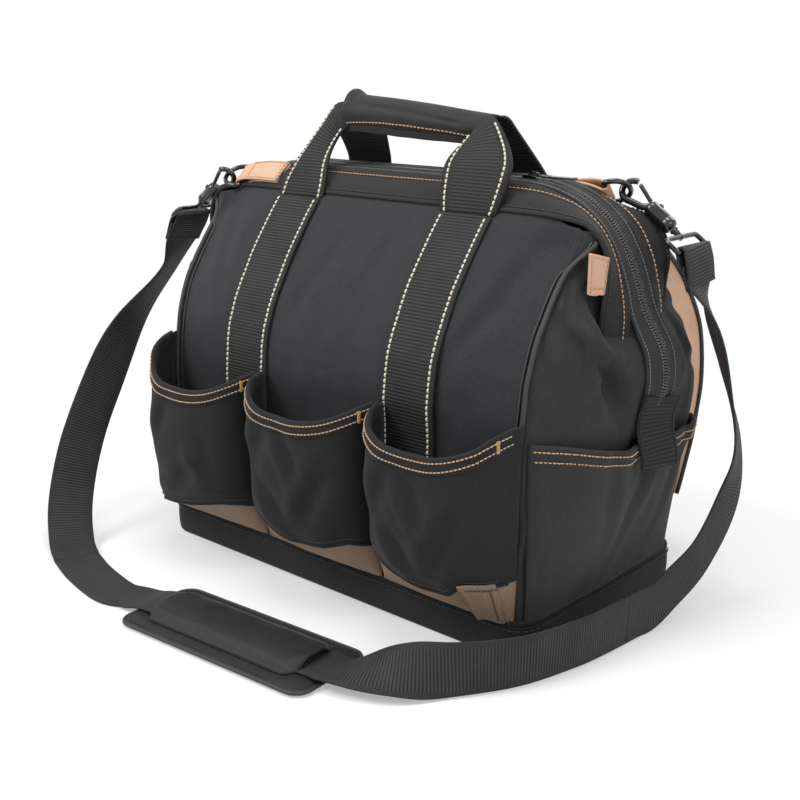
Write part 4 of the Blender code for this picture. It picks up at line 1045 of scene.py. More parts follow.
def makeHandles():
    values = {"seams": (0.09, 0.91), "lift": 0.2 * mm, "coreHigh": 13 * mm, "coreThick": 4.6 * mm, "coreY": 3.2 * mm}
    for name, way in ways:
        build = bmesh.new()
        rows = []
        for side in (-1, 1):
            grid = riserGrid(name, side)
            gridMesh(build, grid, bag["webThick"], lambda v: Vector((0, -way, -0.2)))
            for share in values["seams"]:
                line = []
                ups = []
                for i in range(1, len(grid) - 6):
                    row = grid[i]
                    at = share * (len(row) - 1)
                    j = int(at)
                    up = (row[j + 1] - row[j]).cross(grid[i + 1][j] - grid[i - 1][j]).normalized()
                    up = facing(up, Vector((0, way, 0)))
                    line.append(row[j].lerp(row[j + 1], at - j) + up * values["lift"])
                    ups.append(up)
                rows.append((line, ups))
        # the folded webbing runs on through the grip
        core = [gripMiddle(mix(0.02, 0.98, s)) + Vector((0, way * values["coreY"], 0)) for s in steps(12)]
        bandMesh(build, core, Vector((0, 0, 1)), values["coreHigh"], values["coreThick"])
        body = (name + "_gate", name + "_handle_loop", (0, 0, 0.300), (0, 0, 0.314))
        finishPiece(name + "Handle", build, "webbing", body, (name + "_handle",))
        stitchPiece(name + "HandleStitches", rows, "cream", body, None, "heavy")
    print("handles made")


def gripMiddle(share):
    # the grip's middle line; it tapers and falls a little towards the right
    x = mix(sum(grip["left"]) / 2, sum(grip["right"]) / 2, share)
    return Vector((x * mm, grip["middleY"] * mm, mix(*grip["height"], share ** 1.4) * mm))


def gripPlace(share, turn, way):
    # turn runs from under the grip, round its outer face, to its top
    high = (math.sin(turn) + 1) / 2
    x = mix(mix(*grip["left"][::-1], high), mix(*grip["right"][::-1], high), share) * mm
    middle = gripMiddle(share)
    near = smooth((math.pi / 2 - abs(turn)) / 0.35)  # the two halves meet without a step
    fold = -1.9 * math.exp(-((turn - 0.62 + share * 0.5) / 0.13) ** 2) * smooth(share * 4) * smooth((1 - share) * 4)
    fold += ripple((x, math.sin(turn) * 0.02, math.cos(turn) * 0.02), 30.0, 4.0 + way) * 1.3
    fold += ripple((x, math.sin(turn) * 0.02, way), 70.0, 8.0) * 0.5
    r = (mix(*grip["radius"], share ** 1.3) + fold * near) * mm
    peak = 4.6 * mm * math.exp(-((share - 0.03) / 0.035) ** 2) * smooth(turn / 1.4)
    squared = 1 + 0.06 * math.cos(4 * turn)
    y = middle.y + way * (0.15 * mm + r * squared * math.cos(turn))
    return Vector((x, y, middle.z + r * math.sin(turn) + peak))


def makeGrip():
    for name, way, node, body in (("gripWrap", 1, "grip_wrap", "back_handle_loop"),
                                  ("gripFlap", -1, "grip_flap", "front_handle_loop")):
        grid = [[gripPlace(s, mix(-math.pi / 2, math.pi / 2, t), way) for s in steps(70)] for t in steps(24)]
        piece = gridPiece(name, grid, "grip", body, (node,), 2.4 * mm,
                          lambda v: Vector((0, grip["middleY"] * mm - v.y, 0.362 - v.z)))
        soften(piece, 0.4)
    # the flap's lower edge hangs below its row of tan stitches
    lip = [[gripPlace(s, -0.80 - 0.02 * k, -1) + Vector((0, (-0.9 + 0.1 * k) * mm, -0.75 * k * mm)) for s in steps(60)]
           for k in range(7)]
    gridPiece("gripLip", lip, "grip", "front_handle_loop", (), 1.6 * mm, lambda v: Vector((0, 1, 0)))
    row = [gripPlace(mix(0.01, 0.99, s), -0.66 + 0.25 * math.sin(math.pi * s), -1) + Vector((0, -0.35 * mm, 0))
           for s in steps(60)]
    stitchPiece("gripStitches", [row], "tan", "front_handle_loop", lambda v: Vector((0, -1, -0.5)),
                "grip")
    print("grip made")


# pockets
pocket = {"hem": 170 * mm, "dip": 18 * mm, "cloth": 2 * mm, "bulge": 42 * mm, "wallY": 104.3 * mm}
# how high each pocket's cloth starts over the boot, in mm: it sags in the middle and shows the trim at its sides
seams = {"left": ((0, 6), (0.15, 11), (0.5, 18), (0.8, 27), (0.92, 28), (1, 26)),
         "middle": ((0, 26), (0.1, 28), (0.3, 23), (0.5, 20), (0.75, 23), (0.9, 29), (1, 27)),
         "right": ((0, 25), (0.1, 27), (0.3, 22), (0.55, 19), (0.72, 20), (0.8, 29), (1, 31))}
bays = {"left": (-184.8 * mm, -65 * mm), "middle": (-63 * mm, 63 * mm), "right": (65 * mm, 184.8 * mm)}
fullness = ((0.0, 0.70), (0.12, 0.90), (0.4, 1.0), (0.62, 1.02), (0.84, 1.0), (1.0, 0.94))
# creases: bay, middle of the crease (share across, share up), its angle, length, width and depth in mm
creases = (("left", 0.30, 0.70, 60, 40, 7, 2.2), ("left", 0.75, 0.45, 110, 46, 8, 2.0),
           ("left", 0.5, 0.25, 20, 50, 8, 1.8),
           ("middle", 0.22, 0.62, 55, 52, 8, 3.0), ("middle", 0.55, 0.72, 118, 44, 7, 2.4),
           ("middle", 0.72, 0.40, 62, 56, 9, 2.8), ("middle", 0.38, 0.28, 140, 44, 8, 2.2),
           ("right", 0.25, 0.60, 60, 56, 8, 3.2), ("right", 0.55, 0.66, 120, 48, 7, 2.6),
           ("right", 0.74, 0.36, 58, 56, 9, 3.0), ("right", 0.42, 0.28, 132, 46, 8, 2.4))
# a folded hem in mm: how far under the pocket's edge, and how far out of its cloth; the end and back ones share
# all but their lower edge
frontFold = ((11.5, 0.35), (11.0, 1.1), (9.0, 1.35), (5.0, 1.3), (1.2, 1.35), (-0.6, 1.0), (-1.3, -0.4),
             (-0.9, -2.2), (2.0, -3.0), (9.0, -2.9))
plainFold = ((9.0, 1.3), (5.0, 1.25), (1.0, 1.3), (-0.8, 0.8), (-1.3, -0.6), (-0.8, -2.3), (3.0, -3.0), (9.0, -2.9))
def pocketSeam(bay, share):
    return bag["bootTop"] + between(seams[bay], share) * mm


def pocketHem(bay, share):
    # the outer pockets' hems climb to the bag's corners
    climb = 14 * mm * smooth((0.14 - share) / 0.14) if bay == "left" else 0.0
    climb += 4 * mm * smooth((share - 0.9) / 0.1) if bay == "right" else 0.0
    return pocket["hem"] - pocket["dip"] * (1 - abs(2 * share - 1) ** 2.5) + climb


def pocketPlace(bay, share, level, out=0.0):
    left, right = bays[bay]
    x = mix(left, right, share)
    z = mix(pocketSeam(bay, share), pocketHem(bay, share), level)
    across = (1 - abs(2 * share - 1) ** 3) ** (1 / 2.2)
    depth = pocket["bulge"] * across * between(fullness, min(level, 1.0))
    for name, cx, cz, turn, length, width, deep in creases:
        if name == bay:
            dx = (share - cx) * (right - left) / mm
            depth += deep * 1.5 * mm * crease(dx, (level - cz) * 100, turn, length / 2, width, 0.75, 1.7)
    soft = smooth(share / 0.06) * smooth((1 - share) / 0.06)
    depth += (ripple((x, z, 1.0), 16.0, 4.0) * 3.2 + ripple((x, z, 2.0), 45.0, 2.0) * 1.1) * mm * soft
    y = mix(pocket["wallY"] + pocket["cloth"], between(cornerDepths, z / mm) * mm + 1.6 * mm, seamed(bay, share))
    return Vector((x + 1.2 * mm * seamed(bay, share) * math.copysign(1, x), -y - max(depth, 0.0) - out, z))


def seamed(bay, share):
    # the outer pockets' far edges are sewn into the bag's corner seams
    if bay == "middle":
        return 0.0
    return smooth((0.07 - (share if bay == "left" else 1 - share)) / 0.07)


def pocketRow(bay, drop, low, high, out, count):
    # a line on a pocket a drop under its edge, and the way out of the cloth along it
    line = []
    outs = []
    for share in steps(count):
        s = mix(low, high, share)
        here = 1 - drop / (pocketHem(bay, s) - pocketSeam(bay, s))
        a = pocketPlace(bay, min(s + 0.004, 1), here) - pocketPlace(bay, max(s - 0.004, 0), here)
        b = pocketPlace(bay, s, here) - pocketPlace(bay, s, here - 0.02)
        outs.append(facing(a.cross(b).normalized(), Vector((0, -1, 0))))
        line.append(pocketPlace(bay, s, here) + outs[-1] * out)
    return line, outs


def frontHemPlace(bay, share, drop, out):
    tall = pocketHem(bay, share) - pocketSeam(bay, share)
    level = 1 - drop * mm / tall
    a = pocketPlace(bay, min(share + 0.004, 1), 0.97) - pocketPlace(bay, max(share - 0.004, 0), 0.97)
    way = facing(Vector((-a.y, a.x, 0)).normalized(), Vector((0, -1, 0)))
    place = pocketPlace(bay, share, min(level, 1.0)) + way * out * mm
    place.z += max(level - 1.0, 0.0) * tall
    return place


def makeHem(name, look, body, fold, placeAt, count=60):
    # the folded hem over a pocket's edge
    grid = [[placeAt(mix(0.004, 0.996, s), drop, out) for s in steps(count)] for drop, out in fold]
    gridPiece(name, grid, look, body, ())


def makeFrontPockets():
    values = {"seams": (2.6 * mm, 8.6 * mm), "seamOut": 1.6 * mm, "tacks": (0.03, 0.965), "tackDrop": 5.6 * mm,
              "tackOut": 1.5 * mm, "tack": (9 * mm, 2.4 * mm)}
    for bay in bays:
        grid = [[pocketPlace(bay, s, level) for s in steps(48)] for level in steps(40)]
        clothPiece(bay + "Pocket", grid, "pocket", "bag", (bay + "_front_pocket",), 1.9 * mm,
                   lambda v: Vector((0, 1, 0)))
        makeHem(bay + "Hem", "pocket", "bag", frontFold,
                lambda share, drop, out: frontHemPlace(bay, share, drop, out))
        rows = [pocketRow(bay, drop, 0.012, 0.988, values["seamOut"], 80) for drop in values["seams"]]
        stitchPiece(bay + "HemStitches", rows, "tan", "bag", None, "hem")
        build = bmesh.new()
        for share in values["tacks"]:
            line, outs = pocketRow(bay, values["tackDrop"], share, min(share + 0.02, 1), values["tackOut"], 2)
            bartackMesh(build, line[0], Vector((0, 0, 1)), outs[0], *values["tack"])
        finishPiece(bay + "Bartacks", build, "yellow", "bag")
        makeTrim(bay)
    makeTrimSquare()
    print("front pockets made")


trim = {"lap": 1.5 * mm, "off": 1.2 * mm, "behind": 2.2 * mm, "crease": 1.4 * mm, "thick": 1.8 * mm,
        "cord": 1.3 * mm}


def trimPlace(bay, share, level):
    left, right = bays[bay]
    x = mix(left, right, share)
    seam = pocketSeam(bay, share)
    z = mix(bag["bootTop"] - trim["lap"], seam + trim["lap"], level)
    foot = mix(pocket["wallY"], between(cornerDepths, z / mm) * mm, seamed(bay, share)) + trim["off"]
    # its upper edge lies against the inside of the pocket's cloth
    rise = pocketPlace(bay, share, 0.03)
    full = max(-rise.y - trim["behind"] - foot, 0.0)
    depth = full * mix(0.08, 1.0, level ** 0.8)
    fold = ripple((x, z, 6.0), 40.0, 3.0) * trim["crease"] * smooth(share / 0.1) * smooth((1 - share) / 0.1)
    depth = max(depth + fold * math.sin(math.pi * min(level, 1.0)), 0.0)
    return Vector((mix(x, rise.x, min(level, 1.0)), -foot - depth, z))


def makeTrim(bay):
    grid = [[trimPlace(bay, s, level) for s in steps(44)] for level in steps(12)]
    clothPiece(bay + "Trim", grid, "trim", "bag", (bay + "_kick_trim",), trim["thick"],
               lambda v: Vector((0, 1, 0.6)))
    # the cloth's lower edge, turned in over the trim
    line = [pocketPlace(bay, mix(0.01, 0.99, s), 0.0) + Vector((0, 0.2 * mm, 0.4 * mm)) for s in steps(44)]
    rodPiece(bay + "TrimCord", line, trim["cord"], "pocket", "bag", sides=8)
    row = [pocketPlace(bay, mix(0.03, 0.97, s), 0.045, 0.2 * mm) for s in steps(44)]
    stitchPiece(bay + "TrimStitches", [row], "black", "bag", lambda v: Vector((0, -1, -0.4)), "fine")


def makeTrimSquare():
    # at its right end the right trim is folded forward into a stitched square
    square = []
    for level in steps(8):
        row = []
        for s in steps(8):
            fold = 4.5 * mm * math.exp(-((s - 0.12) / 0.10) ** 2)
            out = 2.6 * mm + fold + 2.4 * mm * smooth(level * 3 - 2)
            row.append(trimPlace("right", mix(0.80, 0.97, s), level) - Vector((0, out, -1.0 * mm * level)))
        square.append(row)
    clothPiece("trimSquare", square, "trim", "bag", (), 1.6 * mm, lambda v: Vector((0, 1, 0)))
    rows = [[square[7][j] + Vector((0, -0.3 * mm, 0)) for j in range(2, 9)],
            [square[i][7] + Vector((0, -0.3 * mm, 0)) for i in range(1, 8)]]
    stitchPiece("trimSquareStitches", rows, "black", "bag", lambda v: Vector((0, -1, 0)), "fine")


# the end pockets; their hems fall from the front seam towards the back
endPocket = {"lift": 3.8 * mm, "bulge": 8 * mm, "front": -98 * mm, "back": 84.7 * mm, "hem": (160 * mm, 147 * mm),
             "tall": 119}
# their folds: middle across, lean, width and depth in mm
endFolds = ((0.62, 0.22, 0.035, 3.4), (0.30, -0.12, 0.04, 2.4), (0.80, 0.10, 0.03, 2.2))


def endPocketPlace(side, share, level, out=0.0):
    y = mix(endPocket["front"], endPocket["back"], share)
    hem = mix(*endPocket["hem"], smooth(share / 0.42))
    z = mix(bag["bootTop"] - 1 * mm, hem, level)
    wall = wallReach(y, z)
    bulge = endPocket["bulge"] * (1 - abs(2 * share - 1) ** 3) * (0.25 + 0.75 * math.sin(level * 1.9))
    bulge *= 1 - 0.7 * math.exp(-(y / (20 * mm)) ** 2) * smooth(level * 3 - 2)
    soft = smooth(share / 0.08) * smooth((1 - share) / 0.08)
    dent = (ripple((y, z, side), 20.0, 1.0) * 2.4 + ripple((y, z, side * 2.0), 48.0, 6.0) * 0.9) * mm * soft
    fold = 0.0
    for cx, lean, wide, deep in endFolds:
        off = (share - cx + (1 - level) * lean) / wide
        fold += (-math.exp(-off ** 2) + 0.6 * math.exp(-(off - 1.8) ** 2)) * deep * mm * smooth(level * 1.3) * soft
    return Vector((side * (wall + endPocket["lift"] + bulge + dent * 0.7 + fold + out), y, z))


def endHemPlace(side, share, drop, out):
    place = endPocketPlace(side, share, min(1 - drop / endPocket["tall"], 1.0), out * mm)
    place.z += max(-drop, 0) * mm
    return place


def wallReach(y, z):
    # how far out the end wall stands at a distance from the middle
    places = (endPlace(0.1 + 0.9 * s, z, planOf(y)) for s in steps(30))
    return min(places, key=lambda p: abs(abs(p.y) - abs(y))).x


def makeEndPockets():
    values = {"seams": (3.0, 9.4), "seamOut": 1.75, "thick": 1.9 * mm}
    for sideName, side in sides:
        grid = [[endPocketPlace(side, s, level) for s in steps(48)] for level in steps(30)]
        clothPiece(sideName + "EndPocket", grid, "end", "bag", (sideName + "_end_pocket",),
                   values["thick"], lambda v: Vector((-side, 0, 0)))
        makeHem(sideName + "EndHem", "end", "bag", ((12.4, 0.3), (12.0, 1.1)) + plainFold,
                lambda share, drop, out: endHemPlace(side, share, drop, out))
        rows = [[endHemPlace(side, mix(0.012, 0.988, s), drop, values["seamOut"]) for s in steps(80)]
                for drop in values["seams"]]
        stitchPiece(sideName + "EndStitches", rows, "tan", "bag", lambda v: Vector((side, v.y * 4, 0)),
                    "hem")
    print("end pockets made")


backPocket = {"hem": 250 * mm, "tall": 219, "top": 296 * mm, "swell": 50 * mm, "off": 4.4 * mm, "foot": 33 * mm,
              "seams": (3.0, 10.0), "seamOut": 1.45, "thick": 1.9 * mm}


def backSwell(z):
    share = (z - bag["bootTop"]) / (backPocket["top"] - bag["bootTop"])
    return backPocket["swell"] * math.sin(math.pi * min(max(share, 0.0), 1.0)) ** 0.8


def backPocketPlace(share, level, out=0.0):
    z = mix(bag["bootTop"] - 1 * mm, backPocket["hem"], level)
    across = (1 - abs(2 * share - 1) ** 8) ** 0.5
    x = mix(-bag["frontEnd"], bag["frontEnd"], share)
    soft = smooth(share / 0.05) * smooth((1 - share) / 0.05)
    dent = (ripple((x, z, 7.0), 12.0, 3.0) * 3.4 + ripple((x, z, 9.0), 36.0, 3.0) * 1.2) * mm * soft
    y = wallDepth(z) + backPocket["off"] + (backSwell(max(z, backPocket["foot"])) + dent) * across
    return Vector((x, y + out, z))


def backHemPlace(share, drop, out):
    place = backPocketPlace(share, min(1 - drop / backPocket["tall"], 1.0), out * mm)
    place.z += max(-drop, 0) * mm
    return place


def makeBackPocket():
    grid = [[backPocketPlace(s, level) for s in steps(60)] for level in steps(44)]
    clothPiece("backPocket", grid, "front", backGate, ("back_pocket", "back_pocket_top"),
               backPocket["thick"], lambda v: Vector((0, -1, 0)))
    makeHem("backHem", "front", backGate, ((13.4, 0.3), (13.0, 1.1)) + plainFold, backHemPlace, 80)
    rows = [[backHemPlace(mix(0.01, 0.99, s), drop, backPocket["seamOut"]) for s in steps(90)]
            for drop in backPocket["seams"]]
    stitchPiece("backHemStitches", rows, "tan", backGate, lambda v: Vector((0, 1, 0.1)), "back")
    for sideName, side in sides:
        makeCrescent(sideName, side)
    print("back pocket made")


def makeCrescent(sideName, side):
    # the pale crescent that closes the back pocket's end
    values = {"foot": 62 * mm, "out": 180.4 * mm, "dip": 3.0 * mm, "lap": 4.2 * mm,
              "gap": 0.2 * mm, "thick": 1.6 * mm, "cord": 1.7 * mm}
    grid = []
    for level in steps(36):
        z = mix(values["foot"], backPocket["top"], level)
        swell = backSwell(z)
        start = max(wallDepth(z), bag["coverY"]) + values["gap"]
        row = []
        for s in steps(10):
            dip = -math.sin(math.pi * s) * values["dip"] * smooth(swell / (20 * mm))
            x = values["out"] + dip + ripple((z, s, 2.0), 30.0) * 0.8 * mm
            row.append(Vector((side * x, start + (swell + values["lap"]) * s, z)))
        grid.append(row)
    clothPiece(sideName + "Crescent", grid, "leather", backGate, (sideName + "_pocket_gusset",),
               values["thick"], lambda v: Vector((-side, 0, 0)))
    edge = [row[-1] + Vector((side * 0.9 * mm, 0.6 * mm, 0)) for row in grid]
    rodPiece(sideName + "CrescentPiping", edge, values["cord"], "piping", backGate, sides=10)


# strap, rings, hooks
# the ring, its tab, the hook, its barrel and latch, and the buckle
chain = {"slope": math.radians(36), "ring": 2.0 * mm, "ringHalf": 14.2 * mm, "ringDeep": 17 * mm,
         "ringOff": 4.6 * mm, "ringCorner": 2 * mm, "latch": 1.6 * mm, "studAt": 7 * mm,
         "lift": math.radians(40), "tabLong": 48 * mm, "tabWide": 22 * mm, "tabThick": 1.9 * mm, "tabLow": 1.3 * mm,
         "tabHigh": 3.6 * mm, "tabSeam": 9.2 * mm, "tabLift": 1.15 * mm, "hook": 2.3 * mm, "eye": 7.8 * mm,
         "barrel": 6 * mm, "barrelAt": 16 * mm, "barrelLong": 25 * mm, "postLong": 8 * mm,
         "buckle": 1.9 * mm, "buckleLong": 13 * mm, "buckleHalf": 21.5 * mm, "run": 0.6 * mm}
# the mouth's corners in mm: the wire's bend, the cover's reach, and how far it stands out and in
corner = {"radius": 60, "reach": 22, "middle": 25, "out": 7.4, "in": 12, "legIn": 2, "left": (195, 32),
          "right": (201.5, 20)}
def cornerFrame(side, back=0.0):
    # the middle of a band where a ring's tab lies, a distance back from its fold: place, way round, width and lift
    leg, turn = corner["left" if side < 0 else "right"]
    turn = math.radians(turn) - back / mm / corner["radius"]
    past = max(turn, 0.0)
    low = mix(corner["in"], corner["legIn"], past / (math.pi / 2))
    radius = corner["radius"] + (corner["out"] - low) / 2
    ox, oz = math.sin(past), math.cos(past)
    x = leg - corner["radius"] + min(turn, 0.0) * corner["radius"] + radius * ox
    fall = corner["out"] + low
    place = Vector((side * x, side * corner["middle"], bag["frameTop"] / mm - corner["radius"] + radius * oz)) * mm
    way = Vector((side * oz, 0, -ox))
    across = Vector((-side * ox * fall, side * corner["reach"], -oz * fall)).normalized()
    off = Vector((side * ox * corner["reach"], side * fall, oz * corner["reach"])).normalized()
    return place, way, across, off


def chainPlaces(side):
    place, way, across, off = cornerFrame(side)
    centre = place + off * chain["ringOff"]
    reach = way * math.cos(chain["lift"]) + off * math.sin(chain["lift"])
    start = centre + reach * chain["ringDeep"]
    along = Vector((side * math.cos(chain["slope"]), 0, -math.sin(chain["slope"])))
    rise = along.cross(across).normalized()
    normal = along.cross(rise).normalized()
    eye = start + along * (chain["eye"] - chain["hook"] - chain["ring"] - chain["run"])
    return centre, reach, eye, along, rise, normal


def makeRings():
    for sideName, side in sides:
        gate = "front_gate" if side < 0 else "back_gate"
        way, across, off = cornerFrame(side)[1:]
        centre, reach, eye, along, rise, normal = chainPlaces(side)
        fold = chain["ring"] + ease + 1 * mm
        low = chain["tabLow"]
        high = chain["tabHigh"]
        seam = chain["tabSeam"]
        under = []
        upper = []
        for s in steps(12):
            p, w, a, o = cornerFrame(side, chain["tabLong"] * s)
            under.insert(0, (p + o * low, a))
            upper.append((p + o * mix(low + 2 * fold, high, smooth(chain["tabLong"] * s / (fold * 7))), a, o))
        folded = [(centre + way * fold * math.sin(math.pi * s) - off * fold * math.cos(math.pi * s), across)
                  for s in steps(10)[1:-1]]
        runs = under + folded + [row[:2] for row in upper]
        build = bmesh.new()
        bandMesh(build, [row[0] for row in runs], [row[1] for row in runs], chain["tabWide"], chain["tabThick"])
        finishPiece(sideName + "RingTab", build, "leather", gate, (sideName + "_ring_tab",))
        tops = [(p + o * chain["tabLift"], a, o) for p, a, o in upper[3:]]
        rows = [([p + a * w for p, a, o in tops], [o for p, a, o in tops]) for w in (-seam, seam)]
        ending = (tops[-1][0] - tops[-2][0]).normalized()
        for (p, a, o), inset in ((tops[0], 0), (tops[-1], -1.6 * mm)):
            rows.append(([p + ending * inset + a * w for w in (-seam, -seam / 3, seam / 3, seam)], [o] * 4))
        stitchPiece(sideName + "TabStitches", rows, "tan", gate, None, "leather")
        # the ring
        rounding = chain["ringCorner"]
        points = [centre + across * share * (chain["ringHalf"] - rounding) for share in (-1, -0.6, -0.2, 0.2, 0.6, 1)]
        for s in steps(22):
            turn = math.pi * s
            points.append(centre + across * chain["ringHalf"] * math.cos(turn)
                          + reach * (rounding + (chain["ringDeep"] - rounding) * math.sin(turn) ** 0.8))
        rodPiece(sideName + "Ring", points, chain["ring"], "metal", sideName + "_ring", (sideName + "_d_ring",),
                 14, closed=True)
        makeHook(sideName, eye, along, rise, normal)
    print("rings and hooks made")


def turnedMesh(build, base, along, a, b, profile, sides=28):
    # a turned form: places along the axis and the radius there
    rings = []
    for reach, radius in profile:
        rings.append([build.verts.new(base + along * reach + (a * math.cos(2 * math.pi * j / sides)
                                                              + b * math.sin(2 * math.pi * j / sides)) * radius)
                      for j in range(sides)])
    for r0, r1 in zip(rings, rings[1:]):
        for j in range(sides):
            k = (j + 1) % sides
            build.faces.new([r0[j], r0[k], r1[k], r1[j]])
    build.faces.new(rings[0])
    build.faces.new(rings[-1])


def makeHook(sideName, eye, along, rise, normal):
    radius = chain["eye"]
    barrelAt = chain["barrelAt"]
    line = [(barrelAt + 4 * mm, 0), (barrelAt + 1 * mm, -0.4 * mm), (barrelAt - chain["hook"], -radius * 0.45)]
    line += [(radius * math.cos(math.radians(-62 - 190 * s)), radius * math.sin(math.radians(-62 - 190 * s)))
             for s in steps(12)]
    # the wire thins towards its tip
    places = curve([eye + along * u + rise * v for u, v in line], 3)
    sizes = [chain["hook"] * (1.12 - 0.14 * i / len(places)) for i in range(len(places))]
    build = bmesh.new()
    rodMesh(build, places, sizes, 14)
    base = eye + along * barrelAt
    full = chain["barrel"]
    profile = ((0.0, 0.50), (0.3, 0.66), (1.2, 0.80), (2.4, 0.97), (4.0, 1.0), (16.5, 1.0), (17.4, 0.93), (18.0, 0.93),
               (18.8, 1.0), (21.5, 1.0), (22.8, 0.95), (24.2, 0.80), (24.9, 0.62), (25.0, 0.40))
    turnedMesh(build, base, along, rise, normal, [(u * mm, full * r) for u, r in profile])
    # the thumb stud of the latch
    stud = base + along * chain["studAt"] + rise * full * 0.92
    turnedMesh(build, stud, rise, along, normal, ((0, 2.0 * mm), (1.2 * mm, 1.9 * mm), (1.8 * mm, 1.3 * mm)), 16)
    piece = finishPiece(sideName + "Hook", build, "metal", sideName + "_snap_hook", (sideName + "_hook",))
    piece.data.set_sharp_from_angle(angle=math.radians(38))
    tip = Vector((radius * math.cos(math.radians(-252)), radius * math.sin(math.radians(-252))))
    root = Vector((barrelAt - chain["run"] * 1.8, full * 0.55))
    lead = (root - tip).normalized()
    first = tip + lead * (chain["hook"] + chain["run"])
    latch = [eye + along * p.x + rise * p.y for p in (first, first.lerp(root, 0.3), first.lerp(root, 0.7), root)]
    rodPiece(sideName + "Latch", curve(latch, 3), chain["latch"], "metal", sideName + "_latch",
             (sideName + "_hook_latch",), 12)
    makeBuckle(sideName, base + along * chain["barrelLong"], along)


def makeBuckle(sideName, start, along):
    level = Vector((0, 1, 0))
    plane = along.cross(level).normalized()
    foot = start + along * chain["run"]
    build = bmesh.new()
    profile = ((0, 1.9), (0.5, 3.0), (1.8, 3.2), (2.4, 2.3), (7.6, 2.2), (9.0, 2.6), (9.9, 2.2))
    turnedMesh(build, foot, along, level, plane, [(u * mm, r * mm) for u, r in profile], 20)
    near = foot + along * chain["postLong"]
    half = chain["buckleHalf"]
    length = chain["buckleLong"]
    corners = [(0, 0), (0, half * 0.5), (0, half * 0.86), (0.06 * length, half * 0.96), (0.2 * length, half),
               (0.8 * length, half), (0.95 * length, half * 0.97), (length, half * 0.88), (length, half * 0.45),
               (length, 0)]
    ring = corners + [(u, -v) for u, v in reversed(corners[1:-1])]
    line = [near + along * u + level * v for u, v in ring]
    rodMesh(build, line, chain["buckle"], 12, closed=True)
    finishPiece(sideName + "Buckle", build, "metal", sideName + "_buckle", (sideName + "_swivel_buckle",))


def buckleBar(side):
    eye, along = chainPlaces(side)[2:4]
    total = chain["barrelAt"] + chain["barrelLong"] + chain["run"] + chain["postLong"] + chain["buckleLong"]
    return eye + along * total


# the shoulder strap
# routes in metres, the same places as in the solid model, and which way the width points
leftRoute = [((-0.264, -0.042, 0.222), (-0.5, 0.85, -0.1)), ((-0.268, -0.090, 0.172), (-0.1, 1, 0.2)),
             ((-0.262, -0.128, 0.122), (0.10, 1, 0.35)), ((-0.256, -0.156, 0.076), (0.20, 1, 0.30)),
             ((-0.243, -0.178, 0.034), (0.28, 1, 0.20)), ((-0.222, -0.193, 0.008), (0.33, 1, 0.05)),
             ((-0.200, -0.203, 0.0013), (0.36, 1, 0))]
floorRoute = [((-0.2002, -0.2029, 0.0013), (0.36, 1, 0)), ((-0.165, -0.214, 0.0012), (0.24, 1, 0)),
              ((-0.120, -0.222, 0.0012), (0.05, 1, 0))]
edgeRoute = [((0.150, -0.190, 0.0174), (-0.25, 0.8, 0.6)), ((0.183, -0.166, 0.01997), (-0.1, 0.1, 1)),
             ((0.210, -0.126, 0.01997), (0.04, 0, 1)), ((0.224, -0.078, 0.01997), (0.05, 0, 1)),
             ((0.2285, -0.045, 0.01997), (0.03, 0, 1)), ((0.2302, -0.0275, 0.01997), (0.03, 0, 1))]
rightRoute = [((0.2302, -0.0274, 0.01997), (0.03, 0, 1)), ((0.2318, -0.0100, 0.01997), (0.03, 0, 1)),
              ((0.2334, 0.0050, 0.01997), (0.03, 0, 1)), ((0.236, 0.025, 0.028), (0, -0.25, 1)),
              ((0.241, 0.060, 0.046), (0, -0.55, 0.9)), ((0.243, 0.094, 0.082), (0, -0.9, 0.5)),
              ((0.244, 0.100, 0.125), (0.35, -0.95, 0.05)), ((0.243, 0.076, 0.180), (0.6, -0.8, -0.1)),
              ((0.243, 0.046, 0.232), (0.6, -0.8, 0.1))]
strap = {"wide": 38 * mm, "thick": 1.9 * mm, "pad": (184 * mm, 73 * mm), "padHigh": 6 * mm,
         "padAt": (16 * mm, -209 * mm), "padTurn": math.radians(4), "padCorner": 12 * mm,
         "sleeve": (150 * mm, 54 * mm)}
def padPlace(u, v, z):
    x, y = strap["padAt"]
    c, s = math.cos(strap["padTurn"]), math.sin(strap["padTurn"])
    return Vector((x + u * c - v * s, y + u * s + v * c, z))


def routeBand(name, rows, body, replaced):
    # a route's rows are places, each with the way its width points
    pieces = 8
    line = curve([row[0] for row in rows], pieces)
    across = [a.normalized() for a in curve([row[1] for row in rows], pieces)]
    bandPiece(name, line, across, strap["wide"], strap["thick"], "strap", body, replaced)


# the loop at each end of the strap in mm: its length, where it closes, half its opening there, and its seams
loop = {"long": 26, "close": 6, "half": 1.1, "spare": 1.25, "seams": (14, 18, 23), "seamY": 16, "lift": 2.2}


